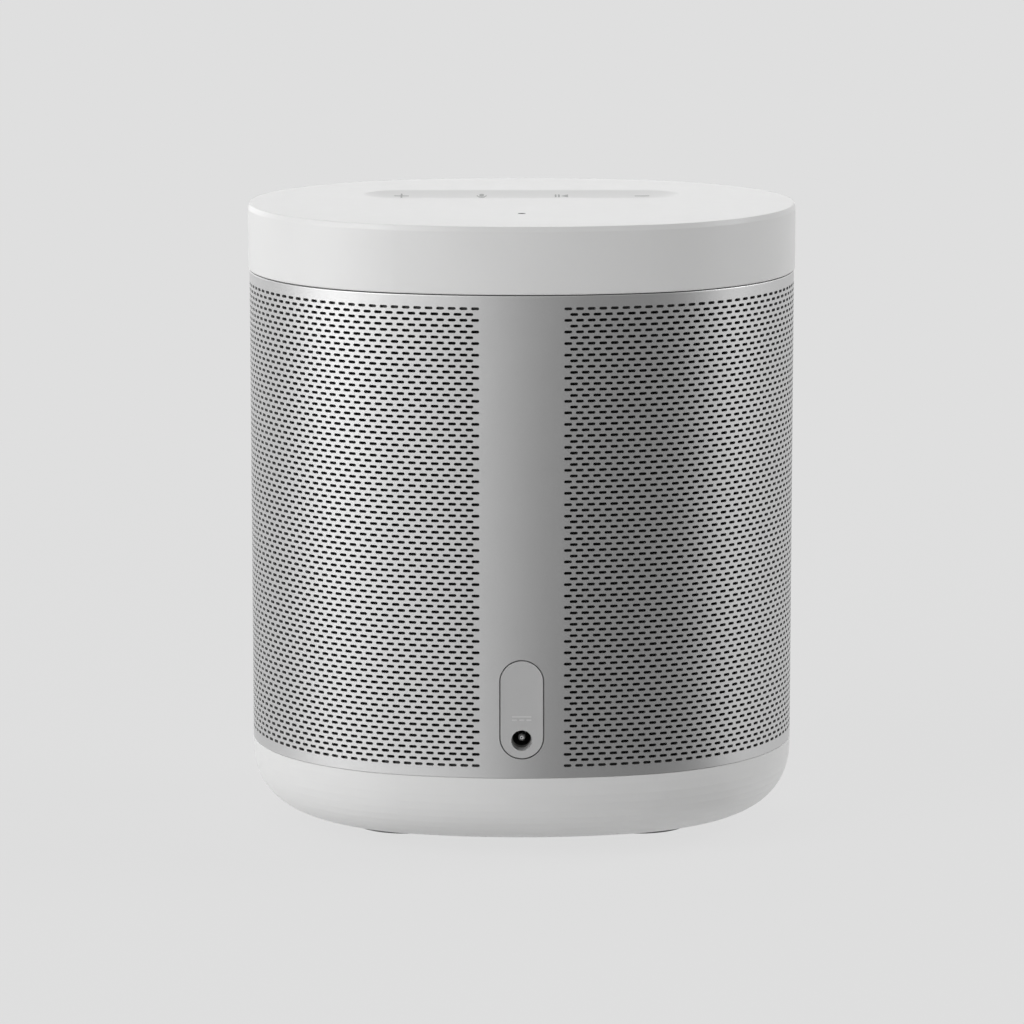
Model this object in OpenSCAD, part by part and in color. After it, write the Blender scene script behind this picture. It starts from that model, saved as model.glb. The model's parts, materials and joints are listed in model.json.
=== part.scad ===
// Smart speaker: oval metal grille between a white cap and a white base, with
// one full-range driver that fires down onto a diffuser. Millimetres, +Z up,
// origin at the centre of the foot's underside, listening side towards +Y.

/* [Casing outline] */
// Width of the grille sleeve over its round ends
casing_w = 130.5; // [126:0.1:136]
// Depth of the grille sleeve from front to rear
casing_d = 103.5; // [101:0.1:108]
// Height of the foot that shows below the base
foot_h = 4.2; // [2:0.1:5]
// Height of the base from its underside to the sleeve
base_h = 17.1; // [17:0.1:22]
// Height of the grille sleeve
sleeve_h = 113.7; // [112:0.1:124]
// Height of the cap from the seam to its flat top
cap_h = 15.75; // [15:0.25:19]
// Open seam between the sleeve and the cap
seam_gap = 0.25; // [0.15:0.05:0.5]
// Running gap between neighbouring moulded parts
fit_gap = 0.15; // [0.1:0.05:0.2]

/* [Cap] */
// Distance that the cap stands proud of the sleeve all round
cap_proud = 0.25; // [0:0.05:0.4]
// Wall thickness of the cap
cap_wall = 2.2; // [1.8:0.1:2.6]
// Height of the bevel round the top edge
cap_bevel = 1.2; // [0.6:0.1:1.4]
// Width of the bevel round the top edge
cap_bevel_w = 0.4; // [0.2:0.05:1.4]
// Length of the touch recess
dish_l = 76.5; // [68:0.5:80]
// Width of the touch recess
dish_w = 17.5; // [14:0.5:20]
// Depth of the touch recess
dish_depth = 1.3; // [0.8:0.1:1.5]
// Distance of the touch recess in front of the centre
dish_y = 15.5; // [12:0.5:17]
// Thickness of the touch wall under the recess
dish_wall = 1.5; // [1.2:0.1:2]
// Distance of the microphone hole behind the centre
mic_y = 24.8; // [22:0.1:25]
// Diameter of the microphone hole
mic_hole_d = 1.9; // [1:0.1:2.4]
// Distance from one touch key to the next
key_pitch = 19.5; // [15:0.5:20]

/* [Cap frame] */
// Wall thickness of the frame inside the cap
frame_wall = 1.2; // [1:0.1:1.6]
// Thickness of the frame's deck
deck_t = 1.6; // [1.2:0.1:2]
// Width of the frame's deck
deck_w = 9; // [8:0.5:10]
// Number of snap tongues round the frame
snap_count = 8; // [6:2:10]
// Reach of each snap tongue over the cap's ledge
snap_reach = 0.7; // [0.5:0.05:0.8]
// Radius of the frame's four legs
leg_r = 3.6; // [3.4:0.1:4]

/* [Grille] */
// Thickness of the sleeve's metal
sleeve_t = 0.8; // [0.6:0.05:1]
// Length of each slot in the sleeve
slot_l = 7.2; // [6:0.1:7.8]
// Height of each slot in the sleeve
slot_h = 2.6; // [2:0.1:3]
// Distance between slots along the outline
slot_pitch = 10.3; // [10:0.1:12]
// Distance between two rows of slots
row_pitch = 5.1; // [4.8:0.1:6]
// Plain metal above the first row and below the last
slot_margin = 3; // [2.5:0.1:4]
// Width of the plain band at the rear
plain_band = 19.6; // [18:0.2:24]
// Thickness of the cloth behind the slots
cloth_t = 0.5; // [0.3:0.05:0.6]

/* [Base] */
// Wall thickness of the base
base_wall = 2.2; // [1.8:0.1:2.6]
// Width of the rounding between the base's side and underside
bowl_w = 14.8; // [12:0.2:16]
// Height of the rounding between the base's side and underside
bowl_h = 15.2; // [13:0.2:16]
// Height of the lip that centres the sleeve
lip_h = 3.4; // [2.5:0.1:3.6]
// Thickness of the lip that centres the sleeve
lip_t = 1.6; // [1.2:0.1:1.8]
// Length of the foot's ring across the casing
foot_l = 80.6; // [78:0.2:82]
// Depth of the foot's ring from front to rear
foot_d = 36.6; // [34:0.2:40]
// Radius of the foot's corners
foot_corner = 12; // [10:0.5:14]
// Width of the foot's ring
foot_w = 7; // [6.8:0.1:8]
// Depth of the groove that the foot sits in
foot_groove = 0.8; // [0.5:0.1:1]

/* [Cabinet] */
// Height of the open sound window above the base
window_h = 18.7; // [18:0.1:24]
// Distance of the cabinet wall inside the casing outline
cabinet_inset = 3.2; // [3:0.1:4]
// Wall thickness of the cabinet
cabinet_wall = 2.4; // [2:0.1:3]
// Height of the cabinet's body
cabinet_h = 76; // [72:0.5:78]
// Thickness of the baffle that carries the driver
baffle_t = 3; // [2.5:0.1:4]
// Thickness of the cabinet's lid
lid_t = 2.6; // [2:0.1:3]
// Thickness of the gaskets
gasket_t = 1; // [0.8:0.1:1.4]
// Radius of the legs under the cabinet
strut_r = 4.2; // [3.8:0.1:4.4]

/* [Driver] */
// Radius of the driver's opening
driver_r = 29.5; // [29:0.1:30]
// Radius of the cone at the surround
cone_r = 22.5; // [22:0.1:23.5]
// Radius of the voice coil's former, inside
coil_r = 8; // [7.6:0.1:8.4]
// Depth of the cone from its edge to the former
cone_depth = 8.5; // [7:0.1:9]
// Wall thickness of the cone
cone_t = 0.5; // [0.4:0.05:0.7]
// Travel of the cone each way
cone_travel = 2.5; // [1:0.1:2.6]
// Height of the basket from its flange to the magnet
basket_h = 18; // [17.5:0.1:20]
// Thickness of the basket's metal
basket_t = 1.2; // [1:0.1:1.5]
// Thickness of the steel plate over the magnet's gap
pole_plate_t = 4; // [3:0.1:5]
// Thickness of the magnet
magnet_t = 10; // [9:0.1:12]
// Radius of the magnet
magnet_r = 22; // [20:0.5:24]
// Thickness of the yoke's back plate
yoke_t = 4; // [3:0.1:5]
// Radius of the diffuser's flange
diffuser_r = 29.5; // [29:0.1:30]
// Height of the diffuser above its bosses
diffuser_h = 24; // [18:0.5:25]

/* [Rear port] */
// Width of the port plate
port_w = 9.9; // [9:0.1:11]
// Height of the port plate
port_h = 23.1; // [21:0.1:24]
// Height of the port plate's lower end above the ground
port_z = 26.2; // [26:0.1:27]
// Thickness of the port plate with its flange
port_t = 2.3; // [2:0.1:2.5]
// Gap round the port plate
port_gap = 0.3; // [0.2:0.05:0.4]
// Diameter of the hole in the port plate
port_hole_d = 4.9; // [4.7:0.1:5.2]
// Height of the power socket above the ground
jack_z = 30.4; // [30.4:0.1:31]
// Width and height of the power socket's body
jack_w = 9; // [8.4:0.1:9]
// Length of the power socket's body
jack_l = 13; // [12:0.5:14]
// Diameter of the power socket's bore
jack_bore_d = 4.4; // [4.2:0.1:4.6]
// Diameter of the power socket's centre pin
jack_pin_d = 1.65; // [1.5:0.05:1.7]

/* [Electronics] */
// Thickness of the circuit boards
board_t = 1.6; // [1:0.1:1.6]
// Width of the main board
board_w = 74; // [70:1:76]
// Depth of the main board
board_d = 56; // [54:1:58]
// Height of the posts under the main board
post_h = 4; // [3:0.5:5]
// Width of the touch board
touch_w = 84; // [78:1:86]
// Depth of the touch board
touch_d = 56; // [54:1:58]
// Thickness of the leads between the boards
lead_t = 1; // [0.8:0.1:1.3]
// Width of the power lead
lead_w = 5; // [4:0.2:6]
// Width of the speaker's lead
speaker_lead_w = 4; // [3:0.2:5]
// Width of the touch ribbon
ribbon_w = 8; // [6:0.5:9]
// Width and depth of the shield can
shield_w = 24; // [20:0.5:26]
// Height of the shield can
shield_h = 3; // [2:0.1:4]
// Width and depth of the amplifier chip
chip_w = 9; // [7:0.5:10]
// Width and depth of the heat sink
sink_w = 21; // [18:0.5:22]
// Height of the heat sink
sink_h = 6; // [4:0.5:8]
// Number of fins on the heat sink
sink_fins = 6; // [4:1:8]
// Width and depth of the inductors
inductor_w = 7; // [6:0.5:8]
// Diameter of the capacitors
capacitor_d = 8; // [6:0.5:8]
// Height of the capacitors
capacitor_h = 8; // [6:0.5:9]

/* [Screws] */
// Radius of the casing's screws
screw_r = 1.5; // [1.3:0.1:1.6]
// Radius of the small screws in the boards
small_r = 0.9; // [0.8:0.1:1]

/* [Hidden] */

$fn = 96;
small_fn = 32;
pass = 1;          // how far a cutter runs past what it cuts
bite = 0.5;        // how far joined forms run into each other
seat_gap = 0.3;    // clearance of a part that slides in loosely
close_gap = 0.1;   // clearance of a part that is located closely
screw_fit = 0.05;  // clearance round a screw's shank, threads left out
shank_gap = 0.2;   // clearance of a plain hole round a screw's shank
tip_gap = 0.4;     // room past a screw's tip
hair = 0.000004;   // overlap of neighbouring sectors, so that they join

// The outline is an oval of four arcs that share their tangents. Every shell
// follows it at a constant distance, so each is a profile swept round the same
// four centres: two on the X axis for the ends, two on the Y axis for the faces.
// The line from an end's centre to a face's centre is the long side of a 7-24-25
// triangle, which puts all four centres at round numbers. Its unit is kept to a
// micron.
half_w = casing_w / 2;
half_d = casing_d / 2;
oval_unit = round((half_w - half_d) / 6 * 1000) / 1000;
end_r = half_d - oval_unit;
end_cx = 7 * oval_unit;
face_cy = 24 * oval_unit;
face_r = end_r + 25 * oval_unit;
face_half = atan2(7, 24);
end_half = 90 - face_half;
face_arc = face_r * face_half * PI / 180;
end_arc = end_r * end_half * PI / 180;
half_loop = 2 * (face_arc + end_arc);

// Heights of the casing, from the ground up
base_z = foot_h;
sleeve_z = base_z + base_h;
sleeve_top = sleeve_z + sleeve_h;
cap_z = sleeve_top + seam_gap;
top_z = cap_z + cap_h;

// Base
floor_top = base_z + base_wall;
lip_top = sleeve_z + lip_h;
foot_mid_r = foot_corner - foot_w / 2;
strut_angle = 50;
strut_x = foot_l / 2 - foot_corner + foot_mid_r * cos(strut_angle);
strut_y = foot_d / 2 - foot_corner + foot_mid_r * sin(strut_angle);
strut_z = floor_top + 10;
strut_web = 4;
head_ratio = 1.85;
head_r = screw_r * head_ratio;
head_well_r = head_r + 0.4;
small_boss_r = small_r + 1.7;
base_seat = strut_z - strut_web;
base_screw_l = 14;
flange_t = 2;
diffuser_boss_h = 4;
diffuser_z = floor_top + diffuser_boss_h;
strut_foot_r = strut_r + 0.6;
diffuser_screw_r = diffuser_r - 4;

// Cabinet
baffle_z = sleeve_z + window_h;
baffle_top = baffle_z + baffle_t;
rim_z = baffle_z + cabinet_h;
lid_z = rim_z + gasket_t;
lid_top = lid_z + lid_t;
cabinet_in = cabinet_inset + cabinet_wall;
cloth_out = sleeve_t + close_gap;
cloth_in = cloth_out + cloth_t;
rib_out = cloth_in + fit_gap;
rib_t = 1.2;
lower_rib_z = baffle_z + 4;
upper_rib_z = rim_z - 4;
lid_boss_r = 3.4;
lid_boss_h = 16;
lid_boss_in = cabinet_in + lid_boss_r - bite;
lid_boss_angle = 35;
lid_screw_l = 9;

// Driver, built from its flange upwards
gasket_top = baffle_top + gasket_t;
flange_z = gasket_top;
flange_r = driver_r + 3.5;
ear_r = 4.5;
ear_at = flange_r + 3.5;
seat_r = driver_r - 1;
cone_z = flange_z + 1;
neck_z = cone_z + cone_depth;
coil_t = 0.3;
winding_t = 0.5;
coil_gap = 0.5;
surround_w = 3.6;
surround_t = 0.5;
edge_z = cone_z + 0.6;
magnet_seat_r = magnet_r - 3;
plate_z = flange_z + basket_h;
magnet_z = plate_z + pole_plate_t;
yoke_z = magnet_z + magnet_t;
plate_hole_r = coil_r + coil_t + winding_t + coil_gap;
pole_r = coil_r - coil_gap;
driver_screw_r = screw_r - 0.2;
driver_screw_in = 2;
winding_h = pole_plate_t + 2 * cone_travel;
winding_z = plate_z - cone_travel;
former_top = winding_z + winding_h + 0.6;
spider_z = plate_z - 5;
spider_r = magnet_seat_r - 1.5;
spider_t = 0.4;
spider_glue = 1.5;

// Frame inside the cap
skirt_out = cap_wall - cap_proud + 0.2;
tongue_out = skirt_out + 0.85;
frame_in = tongue_out + frame_wall;
deck_z = sleeve_top - 1;
deck_top = deck_z + deck_t;
skirt_z = deck_z - 3;
skirt_top = deck_top + 0.4;
ledge_z = cap_z + 4.4;
ledge_t = 1.4;
ledge_out = cap_wall - cap_proud;
tongue_top = ledge_z + ledge_t + 2.2;
frame_leg_x = half_w - 19.25;
frame_leg_y = 16;
lid_post_h = 4;
frame_leg_z = lid_top + lid_post_h;
frame_seat = frame_leg_z + 3;

// Boards
board_z = lid_top + post_h;
board_top = board_z + board_t;
ceiling_z = top_z - cap_wall;
pad_z = top_z - dish_depth - dish_wall;
touch_board_t = 1;
touch_gap = 0.8;
touch_z = pad_z - touch_gap - touch_board_t;
touch_top = touch_z + touch_board_t;
touch_cy = -1;
touch_screw_in = 2.5;
hole_edge = 4;
touch_hole_x = touch_w / 2 - hole_edge;
touch_hole_y = touch_d / 2 - hole_edge;
post_x = board_w / 2 - hole_edge;
post_y = board_d / 2 - hole_edge;
plug_z = 2.2;
plug_edge = 3;
plug_h = 4.5;
lead_top = board_top + plug_z + lead_t / 2;
socket_w = 8;
socket_l = 5;

// Rear port
port_y = -half_d + 0.05;
jack_y = port_y + port_t;
jack_end_y = jack_y + jack_l;
plate_flange = 1.2;
plate_flange_y = -half_d + sleeve_t + 0.35;
plate_flange_t = jack_y - plate_flange_y;
housing_wall = 1.5;
housing_y = jack_y;
housing_r = jack_w / 2 + housing_wall;
lug_x = 10;
lug_r = 3;
lug_t = 2.4;
lug_y = housing_y + 6.5;
port_screw_in = 5;
jack_floor_t = 2;
pin_recess = 1;
pin_root_r = 1.3;
power_board_t = 1.2;
lead_angle = 10;
lead_out = cabinet_inset - close_gap;

// ---------------------------------------------------------------- shared forms

// The ground that belongs to the left end's arc, and the part of the ground
// that belongs to the front's arc. Their shared edges lie on the 7-24 lines
// through the centres.
ground = 10;
module end_ground() {
    x = -end_cx + hair;
    polygon([[x, 0], [x - 7 * ground, 24 * ground], [-40 * ground, 24 * ground],
             [-40 * ground, -24 * ground], [x - 7 * ground, -24 * ground]]);
}
module face_ground() {
    polygon([[-end_cx, 0], [end_cx, 0], [end_cx + 7 * ground, 24 * ground],
             [-end_cx - 7 * ground, 24 * ground]]);
}

// Sweeps a profile round the left end and round the front. In the profile X is
// the distance outside the outline and Y is the height.
module end_sweep() {
    intersection() {
        translate([-end_cx, 0, 0]) rotate_extrude() translate([end_r, 0]) children();
        translate([0, 0, -pass]) linear_extrude(height = 2 * top_z) end_ground();
    }
}
module face_sweep() {
    intersection() {
        translate([0, -face_cy, 0]) rotate_extrude() translate([face_r, 0]) children();
        translate([0, 0, -pass]) linear_extrude(height = 2 * top_z) face_ground();
    }
}

// Sweeps a profile round one quarter: 0 rear, 1 right, 2 front, 3 left
module sector_sweep(quarter) {
    rotate([0, 0, quarter < 2 ? 180 : 0]) {
        if (quarter % 2 == 0) face_sweep() children();
        else end_sweep() children();
    }
}

// Sweeps a profile round the whole casing outline
module oval_sweep() {
    for (quarter = [0:3]) sector_sweep(quarter) children();
}

// A ring between two distances inside the outline
module oval_ring(outer, inner, z, h) {
    oval_sweep() translate([-inner, z]) square([inner - outer, h]);
}

// A flat plate whose edge lies a distance inside the outline
module oval_plate(inset, z, h) {
    translate([0, 0, z]) linear_extrude(height = h) oval_shape(inset);
}

// The outline itself, a distance inside, as four sectors that meet along
// straight lines
module oval_shape(inset) {
    for (turn = [0, 180]) rotate([0, 0, turn]) {
        intersection() {
            translate([-end_cx, 0]) circle(r = end_r - inset);
            end_ground();
        }
        intersection() {
            translate([0, -face_cy]) circle(r = face_r - inset);
            face_ground();
        }
    }
}

// Puts children at a distance along the outline from the rear centre, facing out
module on_outline(s) {
    side = s < 0 ? -1 : 1;
    run = abs(s);
    past_face = run - face_arc;
    past_end = run - face_arc - 2 * end_arc;
    turn = run <= face_arc ? run / face_r * 180 / PI
         : past_end <= 0 ? face_half + past_face / end_r * 180 / PI
         : 180 - face_half + past_end / face_r * 180 / PI;
    centre = run <= face_arc ? [0, face_cy] : past_end <= 0 ? [end_cx, 0] : [0, -face_cy];
    radius = run > face_arc && past_end <= 0 ? end_r : face_r;
    mirror([side < 0 ? 1 : 0, 0, 0])
        translate([centre[0] + radius * sin(turn), centre[1] - radius * cos(turn), 0])
            rotate([0, 0, turn]) children();
}

module at_four(x, y) {
    for (sx = [-1, 1], sy = [-1, 1]) translate([sx * x, sy * y, 0]) children();
}

module ring(outer, inner, z, h) {
    translate([0, 0, z]) difference() {
        cylinder(r = outer, h = h);
        translate([0, 0, -pass]) cylinder(r = inner, h = h + 2 * pass);
    }
}

module block(low, high) {
    translate(low) cube(high - low);
}

// An upright plate with round ends, from y to y + t
module obround_plate(w, h, z, y, t) {
    translate([0, y + t, z]) rotate([90, 0, 0]) linear_extrude(height = t) {
        translate([0, w / 2]) circle(d = w);
        translate([0, h - w / 2]) circle(d = w);
        translate([-w / 2, w / 2]) square([w, h - w]);
    }
}

// A flat plate with round corners, centred on the Z axis
module board(w, d, r, t) {
    linear_extrude(height = t) difference() {
        square([w, d], center = true);
        for (sx = [-1, 1], sy = [-1, 1]) translate([sx * w / 2, sy * d / 2]) difference() {
            square(2 * r, center = true);
            translate([-sx * r, -sy * r]) circle(r = r);
        }
    }
}

// A pan-head screw with a cross recess: its head sits on z = 0 and the shank
// points down
module screw(r, l) {
    head = r * 1.85;
    tall = r * 1.1;
    slot = r * 0.4;
    difference() {
        union() {
            cylinder(r = head, h = tall, $fn = small_fn);
            translate([0, 0, -l]) cylinder(r = r, h = l, $fn = small_fn);
        }
        for (a = [0, 90]) rotate([0, 0, a]) translate([-head * 0.6, -slot / 2, tall * 0.45])
            cube([head * 1.2, slot, tall]);
    }
}

// A flat lead: a strip of even thickness along points in the XY plane
function unit(v) = v / norm(v);
function side_of(v) = [-v[1], v[0]];
function strip_side(p, i, off) =
    let (last = len(p) - 1,
         a = i > 0 ? side_of(unit(p[i] - p[i - 1])) : side_of(unit(p[1] - p[0])),
         b = i < last ? side_of(unit(p[i + 1] - p[i])) : a)
    p[i] + (a + b) / (1 + a * b) * off;
module strip(points, t) {
    last = len(points) - 1;
    polygon(concat([for (i = [0:last]) strip_side(points, i, t / 2)],
                   [for (i = [last:-1:0]) strip_side(points, i, -t / 2)]));
}

// Points of a path with its corners rounded by short arcs
function corner(a, b, c, r) =
    let (u = unit(a - b), v = unit(c - b), half = acos(u * v) / 2,
         start = b + u * r / tan(half), end = b + v * r / tan(half),
         mid = b + unit(u + v) * r / sin(half), steps = 4)
    [for (i = [0:steps]) mid + r * unit((start - mid) * (1 - i / steps) + (end - mid) * i / steps)];
function rounded(p, r) = [
    p[0],
    for (i = [1:len(p) - 2]) each corner(p[i - 1], p[i], p[i + 1], r),
    p[len(p) - 1]
];

// ------------------------------------------------------------------------ cap

module top_cap() {
    color("white") difference() {
        union() {
            oval_sweep() polygon(cap_profile());
            oval_plate(cap_core - bite, ceiling_z, cap_wall);
            touch_pad();
            oval_sweep() translate([-ledge_out - snap_reach, ledge_z]) square([snap_reach + bite, ledge_t]);
            translate([0, touch_cy, 0]) at_four(touch_hole_x, touch_hole_y)
                translate([0, 0, touch_top]) cylinder(r = small_boss_r, h = ceiling_z - touch_top + bite);
        }
        translate([0, dish_y, top_z]) touch_dish();
        translate([0, -mic_y, ceiling_z - pass]) cylinder(d = mic_hole_d, h = cap_wall + 2 * pass);
        translate([0, touch_cy, 0]) at_four(touch_hole_x, touch_hole_y)
            translate([0, 0, touch_top - pass])
                cylinder(r = small_r + screw_fit, h = touch_screw_in + tip_gap + pass, $fn = small_fn);
    }
}

// Section of the cap's skirt and the outer part of its top
cap_core = 14;
cap_edge = 0.3;
function cap_profile() = [
    [cap_proud - cap_wall, cap_z], [cap_proud - cap_edge, cap_z], [cap_proud, cap_z + cap_edge],
    [cap_proud, top_z - cap_bevel], [cap_proud - cap_bevel_w, top_z],
    [-cap_core, top_z], [-cap_core, ceiling_z], [cap_proud - cap_wall - 1, ceiling_z],
    [cap_proud - cap_wall, ceiling_z - 1]
];

// Thicker patch of the top under the touch recess
module touch_pad() {
    pad_w = dish_w + 4;
    translate([0, dish_y, pad_z]) linear_extrude(height = ceiling_z - pad_z + bite) {
        for (s = [-1, 1]) translate([s * (dish_l - dish_w) / 2, 0]) circle(d = pad_w);
        square([dish_l - dish_w, pad_w], center = true);
    }
}

// The recess: a circular trough with ends of the same section turned round
module touch_dish() {
    trough_r = (dish_w * dish_w / 4 + dish_depth * dish_depth) / (2 * dish_depth);
    run = dish_l - dish_w;
    rotate([90, 0, 90]) translate([0, 0, -run / 2]) linear_extrude(height = run)
        trough_section(trough_r);
    for (turn = [0, 180]) rotate([0, 0, turn]) translate([run / 2, 0, 0]) rotate([0, 0, -90])
        rotate_extrude(angle = 180) intersection() {
            trough_section(trough_r);
            translate([0, -dish_depth - pass]) square([dish_w, dish_depth + 2 * pass]);
        }
}

module trough_section(trough_r) {
    intersection() {
        translate([0, trough_r - dish_depth]) circle(r = trough_r, $fn = 360);
        translate([-dish_w, -dish_depth - pass]) square([2 * dish_w, dish_depth + pass + 0.001]);
    }
}

module cap_frame() {
    color("dimgray") difference() {
        union() {
            oval_ring(skirt_out, frame_in, skirt_z, skirt_top - skirt_z);
            oval_ring(sleeve_t + fit_gap, skirt_out + bite, skirt_z, deck_z - skirt_z);
            oval_ring(frame_in - bite, frame_in + deck_w, deck_z, deck_t);
            snap_tongues();
            at_four(frame_leg_x, frame_leg_y)
                translate([0, 0, frame_leg_z]) cylinder(r = leg_r, h = deck_top - frame_leg_z);
        }
        at_four(frame_leg_x, frame_leg_y) {
            translate([0, 0, frame_seat]) cylinder(r = head_r + shank_gap, h = deck_top);
            translate([0, 0, frame_leg_z - pass])
                cylinder(r = screw_r + shank_gap, h = deck_top, $fn = small_fn);
        }
        lead_plane() block([-lead_w / 2 - seat_gap, -half_d, skirt_z - 2 * pass],
            [lead_w / 2 + seat_gap, power_lead_end, max(skirt_z - pass, lead_top + seat_gap)]);
    }
}

// Tongues that spring over the ledge inside the cap
module snap_tongues() {
    tongue_w = 9;
    for (i = [0:snap_count - 1]) on_outline((i + 0.5) * 2 * half_loop / snap_count - half_loop)
        intersection() {
            translate([-tongue_w / 2, 0, deck_top - bite])
                cube([tongue_w, frame_in + pass, tongue_top - deck_top + bite]);
            rotate([90, 0, 90]) translate([0, 0, -tongue_w / 2]) linear_extrude(height = tongue_w)
                tongue_section();
        }
}

module tongue_section() {
    nose_z = ledge_z + ledge_t + close_gap;
    nose_t = 0.5;
    back = tongue_out + close_gap;
    polygon([[frame_in, deck_top - bite], [frame_in, tongue_top], [back, tongue_top],
             [back - snap_reach, nose_z + nose_t], [back - snap_reach, nose_z],
             [back, nose_z], [back, deck_top - bite]]);
}

module frame_screws() {
    color("silver") at_four(frame_leg_x, frame_leg_y)
        translate([0, 0, frame_seat]) screw(screw_r, frame_seat - lid_top - seat_gap - tip_gap);
}

module touch_board() {
    color("darkgreen") translate([0, touch_cy, touch_z]) difference() {
        board(touch_w, touch_d, 5, touch_board_t);
        at_four(touch_hole_x, touch_hole_y) translate([0, 0, -pass])
            cylinder(r = small_r + shank_gap, h = touch_board_t + 2 * pass, $fn = small_fn);
        translate([0, -mic_y - touch_cy, -pass]) cylinder(r = 0.6, h = touch_board_t + 2 * pass);
    }
}

module touch_pads() {
    pad_d = 9;
    color("orange") for (i = [-1.5:1.5]) translate([i * key_pitch, dish_y, touch_top])
        cylinder(d = pad_d, h = touch_gap);
}

module status_leds() {
    led = [1.6, 1.2, 0.6];
    color("ivory") for (i = [-1.5:1.5]) translate([i * key_pitch - led[0] / 2, dish_y - 8, touch_top])
        cube(led);
}

module touch_screws() {
    color("silver") translate([0, touch_cy, 0]) at_four(touch_hole_x, touch_hole_y)
        translate([0, 0, touch_z]) mirror([0, 0, 1]) screw(small_r, touch_board_t + touch_screw_in);
}

module mic_capsule() {
    can = [3.5, 2.65, 1];
    color("gold") translate([-can[0] / 2, -mic_y - can[1] / 2, touch_z - can[2]]) cube(can);
}

module mic_boot() {
    color("black") translate([0, -mic_y, 0])
        ring(3, mic_hole_d / 2 + close_gap, touch_top, ceiling_z - touch_top);
}

module antennas() {
    strip_l = 28;
    strip_h = 7;
    strip_t = 0.8;
    color("darkgreen") for (s = [-1, 1])
        translate([-strip_l / 2, s * (half_d - frame_in - deck_w / 2) - strip_t / 2, deck_top])
            cube([strip_l, strip_t, strip_h]);
}

// --------------------------------------------------------------------- grille

module grille_sleeve() {
    color("silver") for (quarter = [0:3]) difference() {
        sector_sweep(quarter) translate([-sleeve_t, sleeve_z]) square([sleeve_t, sleeve_h]);
        slot_rows(quarter);
        if (quarter == 0)
            obround_plate(port_w + 2 * port_gap, port_h + 2 * port_gap, port_z - port_gap,
                          -half_d - pass, 2 * pass + sleeve_t);
    }
}

// Rows of slots, each second row shifted by half a slot, from one side of the
// plain band round the front to the other. Each quarter takes its own.
module slot_rows(quarter) {
    run = 2 * half_loop - plain_band - slot_l;
    across = round(run / slot_pitch);
    tall = sleeve_h - 2 * slot_margin - slot_h;
    rows = round(tall / row_pitch);
    middle = quarter * half_loop / 2;
    reach = (quarter % 2 == 0 ? face_arc : end_arc) + slot_l;
    for (row = [0:rows], i = [0:across - row % 2]) {
        s = (plain_band + slot_l) / 2 + (i + (row % 2) / 2) * run / across;
        away = min(abs(s - middle), abs(s - middle - 2 * half_loop));
        if (away < reach) on_outline(s > half_loop ? s - 2 * half_loop : s)
            translate([-slot_l / 2, -pass, sleeve_z + slot_margin + row * tall / rows])
                cube([slot_l, sleeve_t + 2 * pass, slot_h]);
    }
}

module acoustic_cloth() {
    cloth_z = lip_top + seat_gap;
    color("black") difference() {
        oval_ring(cloth_out, cloth_in, cloth_z, skirt_z - fit_gap - cloth_z);
        block([-port_w, -half_d - pass, cloth_z - pass],
              [port_w, -half_d + 2 * cloth_in, port_z + port_h + 2 * plate_flange + pass]);
    }
}

// -------------------------------------------------------------------- cabinet

module cabinet_body() {
    color("darkslategray") difference() {
        union() {
            oval_ring(cabinet_inset, cabinet_in, baffle_z, cabinet_h);
            oval_plate(cabinet_in - bite, baffle_z, baffle_t);
            locating_rib(lower_rib_z);
            locating_rib(upper_rib_z);
            intersection() {
                lid_bosses(rim_z - lid_boss_h, lid_boss_h, lid_boss_r);
                oval_plate(cabinet_inset + bite, baffle_z, cabinet_h);
            }
            driver_places() translate([0, 0, baffle_top - bite])
                cylinder(r = ear_r - 1, h = bite + gasket_t, $fn = small_fn);
            at_four(strut_x, strut_y)
                translate([0, 0, strut_z]) cylinder(r = strut_r, h = baffle_z - strut_z + bite);
            port_bosses();
        }
        translate([0, 0, baffle_z - pass]) cylinder(r = driver_r, h = baffle_t + 2 * pass);
        lid_bosses(lid_top - lid_screw_l - tip_gap, lid_screw_l, screw_r + screw_fit);
        driver_pilots();
        at_four(strut_x, strut_y) translate([0, 0, strut_z - pass])
            cylinder(r = screw_r + screw_fit, h = base_screw_l - strut_web + tip_gap + pass, $fn = small_fn);
        port_pilots();
    }
}

// A ring outside the cabinet wall that backs the cloth, open for the power lead
// and behind the port
module locating_rib(z) {
    difference() {
        oval_ring(rib_out, cabinet_inset + bite, z, rib_t);
        lead_plane() block([-lead_w / 2 - pass, -half_d, z - pass],
                           [lead_w / 2 + pass, -half_d + cabinet_inset, z + rib_t + pass]);
        block([-port_w, -half_d - pass, z - pass],
              [port_w, -half_d + cabinet_inset - close_gap,
               min(z + rib_t + pass, port_z + port_h + 2 * plate_flange + 2 * pass)]);
    }
}

// Places for the lid's screws: four at the sides, one in front and one behind
module lid_boss_places() {
    r = end_r - lid_boss_in;
    at_four(end_cx + r * cos(lid_boss_angle), r * sin(lid_boss_angle)) children();
    for (s = [-1, 1]) translate([0, s * (half_d - lid_boss_in), 0]) children();
}

module lid_bosses(z, h, r) {
    lid_boss_places() translate([0, 0, z]) cylinder(r = r, h = h, $fn = small_fn);
}

module driver_places() {
    for (a = [45:90:315]) rotate([0, 0, a]) translate([ear_at, 0, 0]) children();
}

module driver_pilots() {
    driver_places() translate([0, 0, baffle_top - driver_screw_in - tip_gap])
        cylinder(r = driver_screw_r + screw_fit, h = driver_screw_in + gasket_t + pass, $fn = small_fn);
}

module port_places() {
    for (s = [-1, 1]) translate([s * lug_x, lug_y, baffle_z]) children();
}

module port_bosses() {
    port_places() translate([0, 0, bite])
        cylinder(r = lug_r, h = port_screw_in + tip_gap + 1.5, $fn = small_fn);
}

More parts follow.
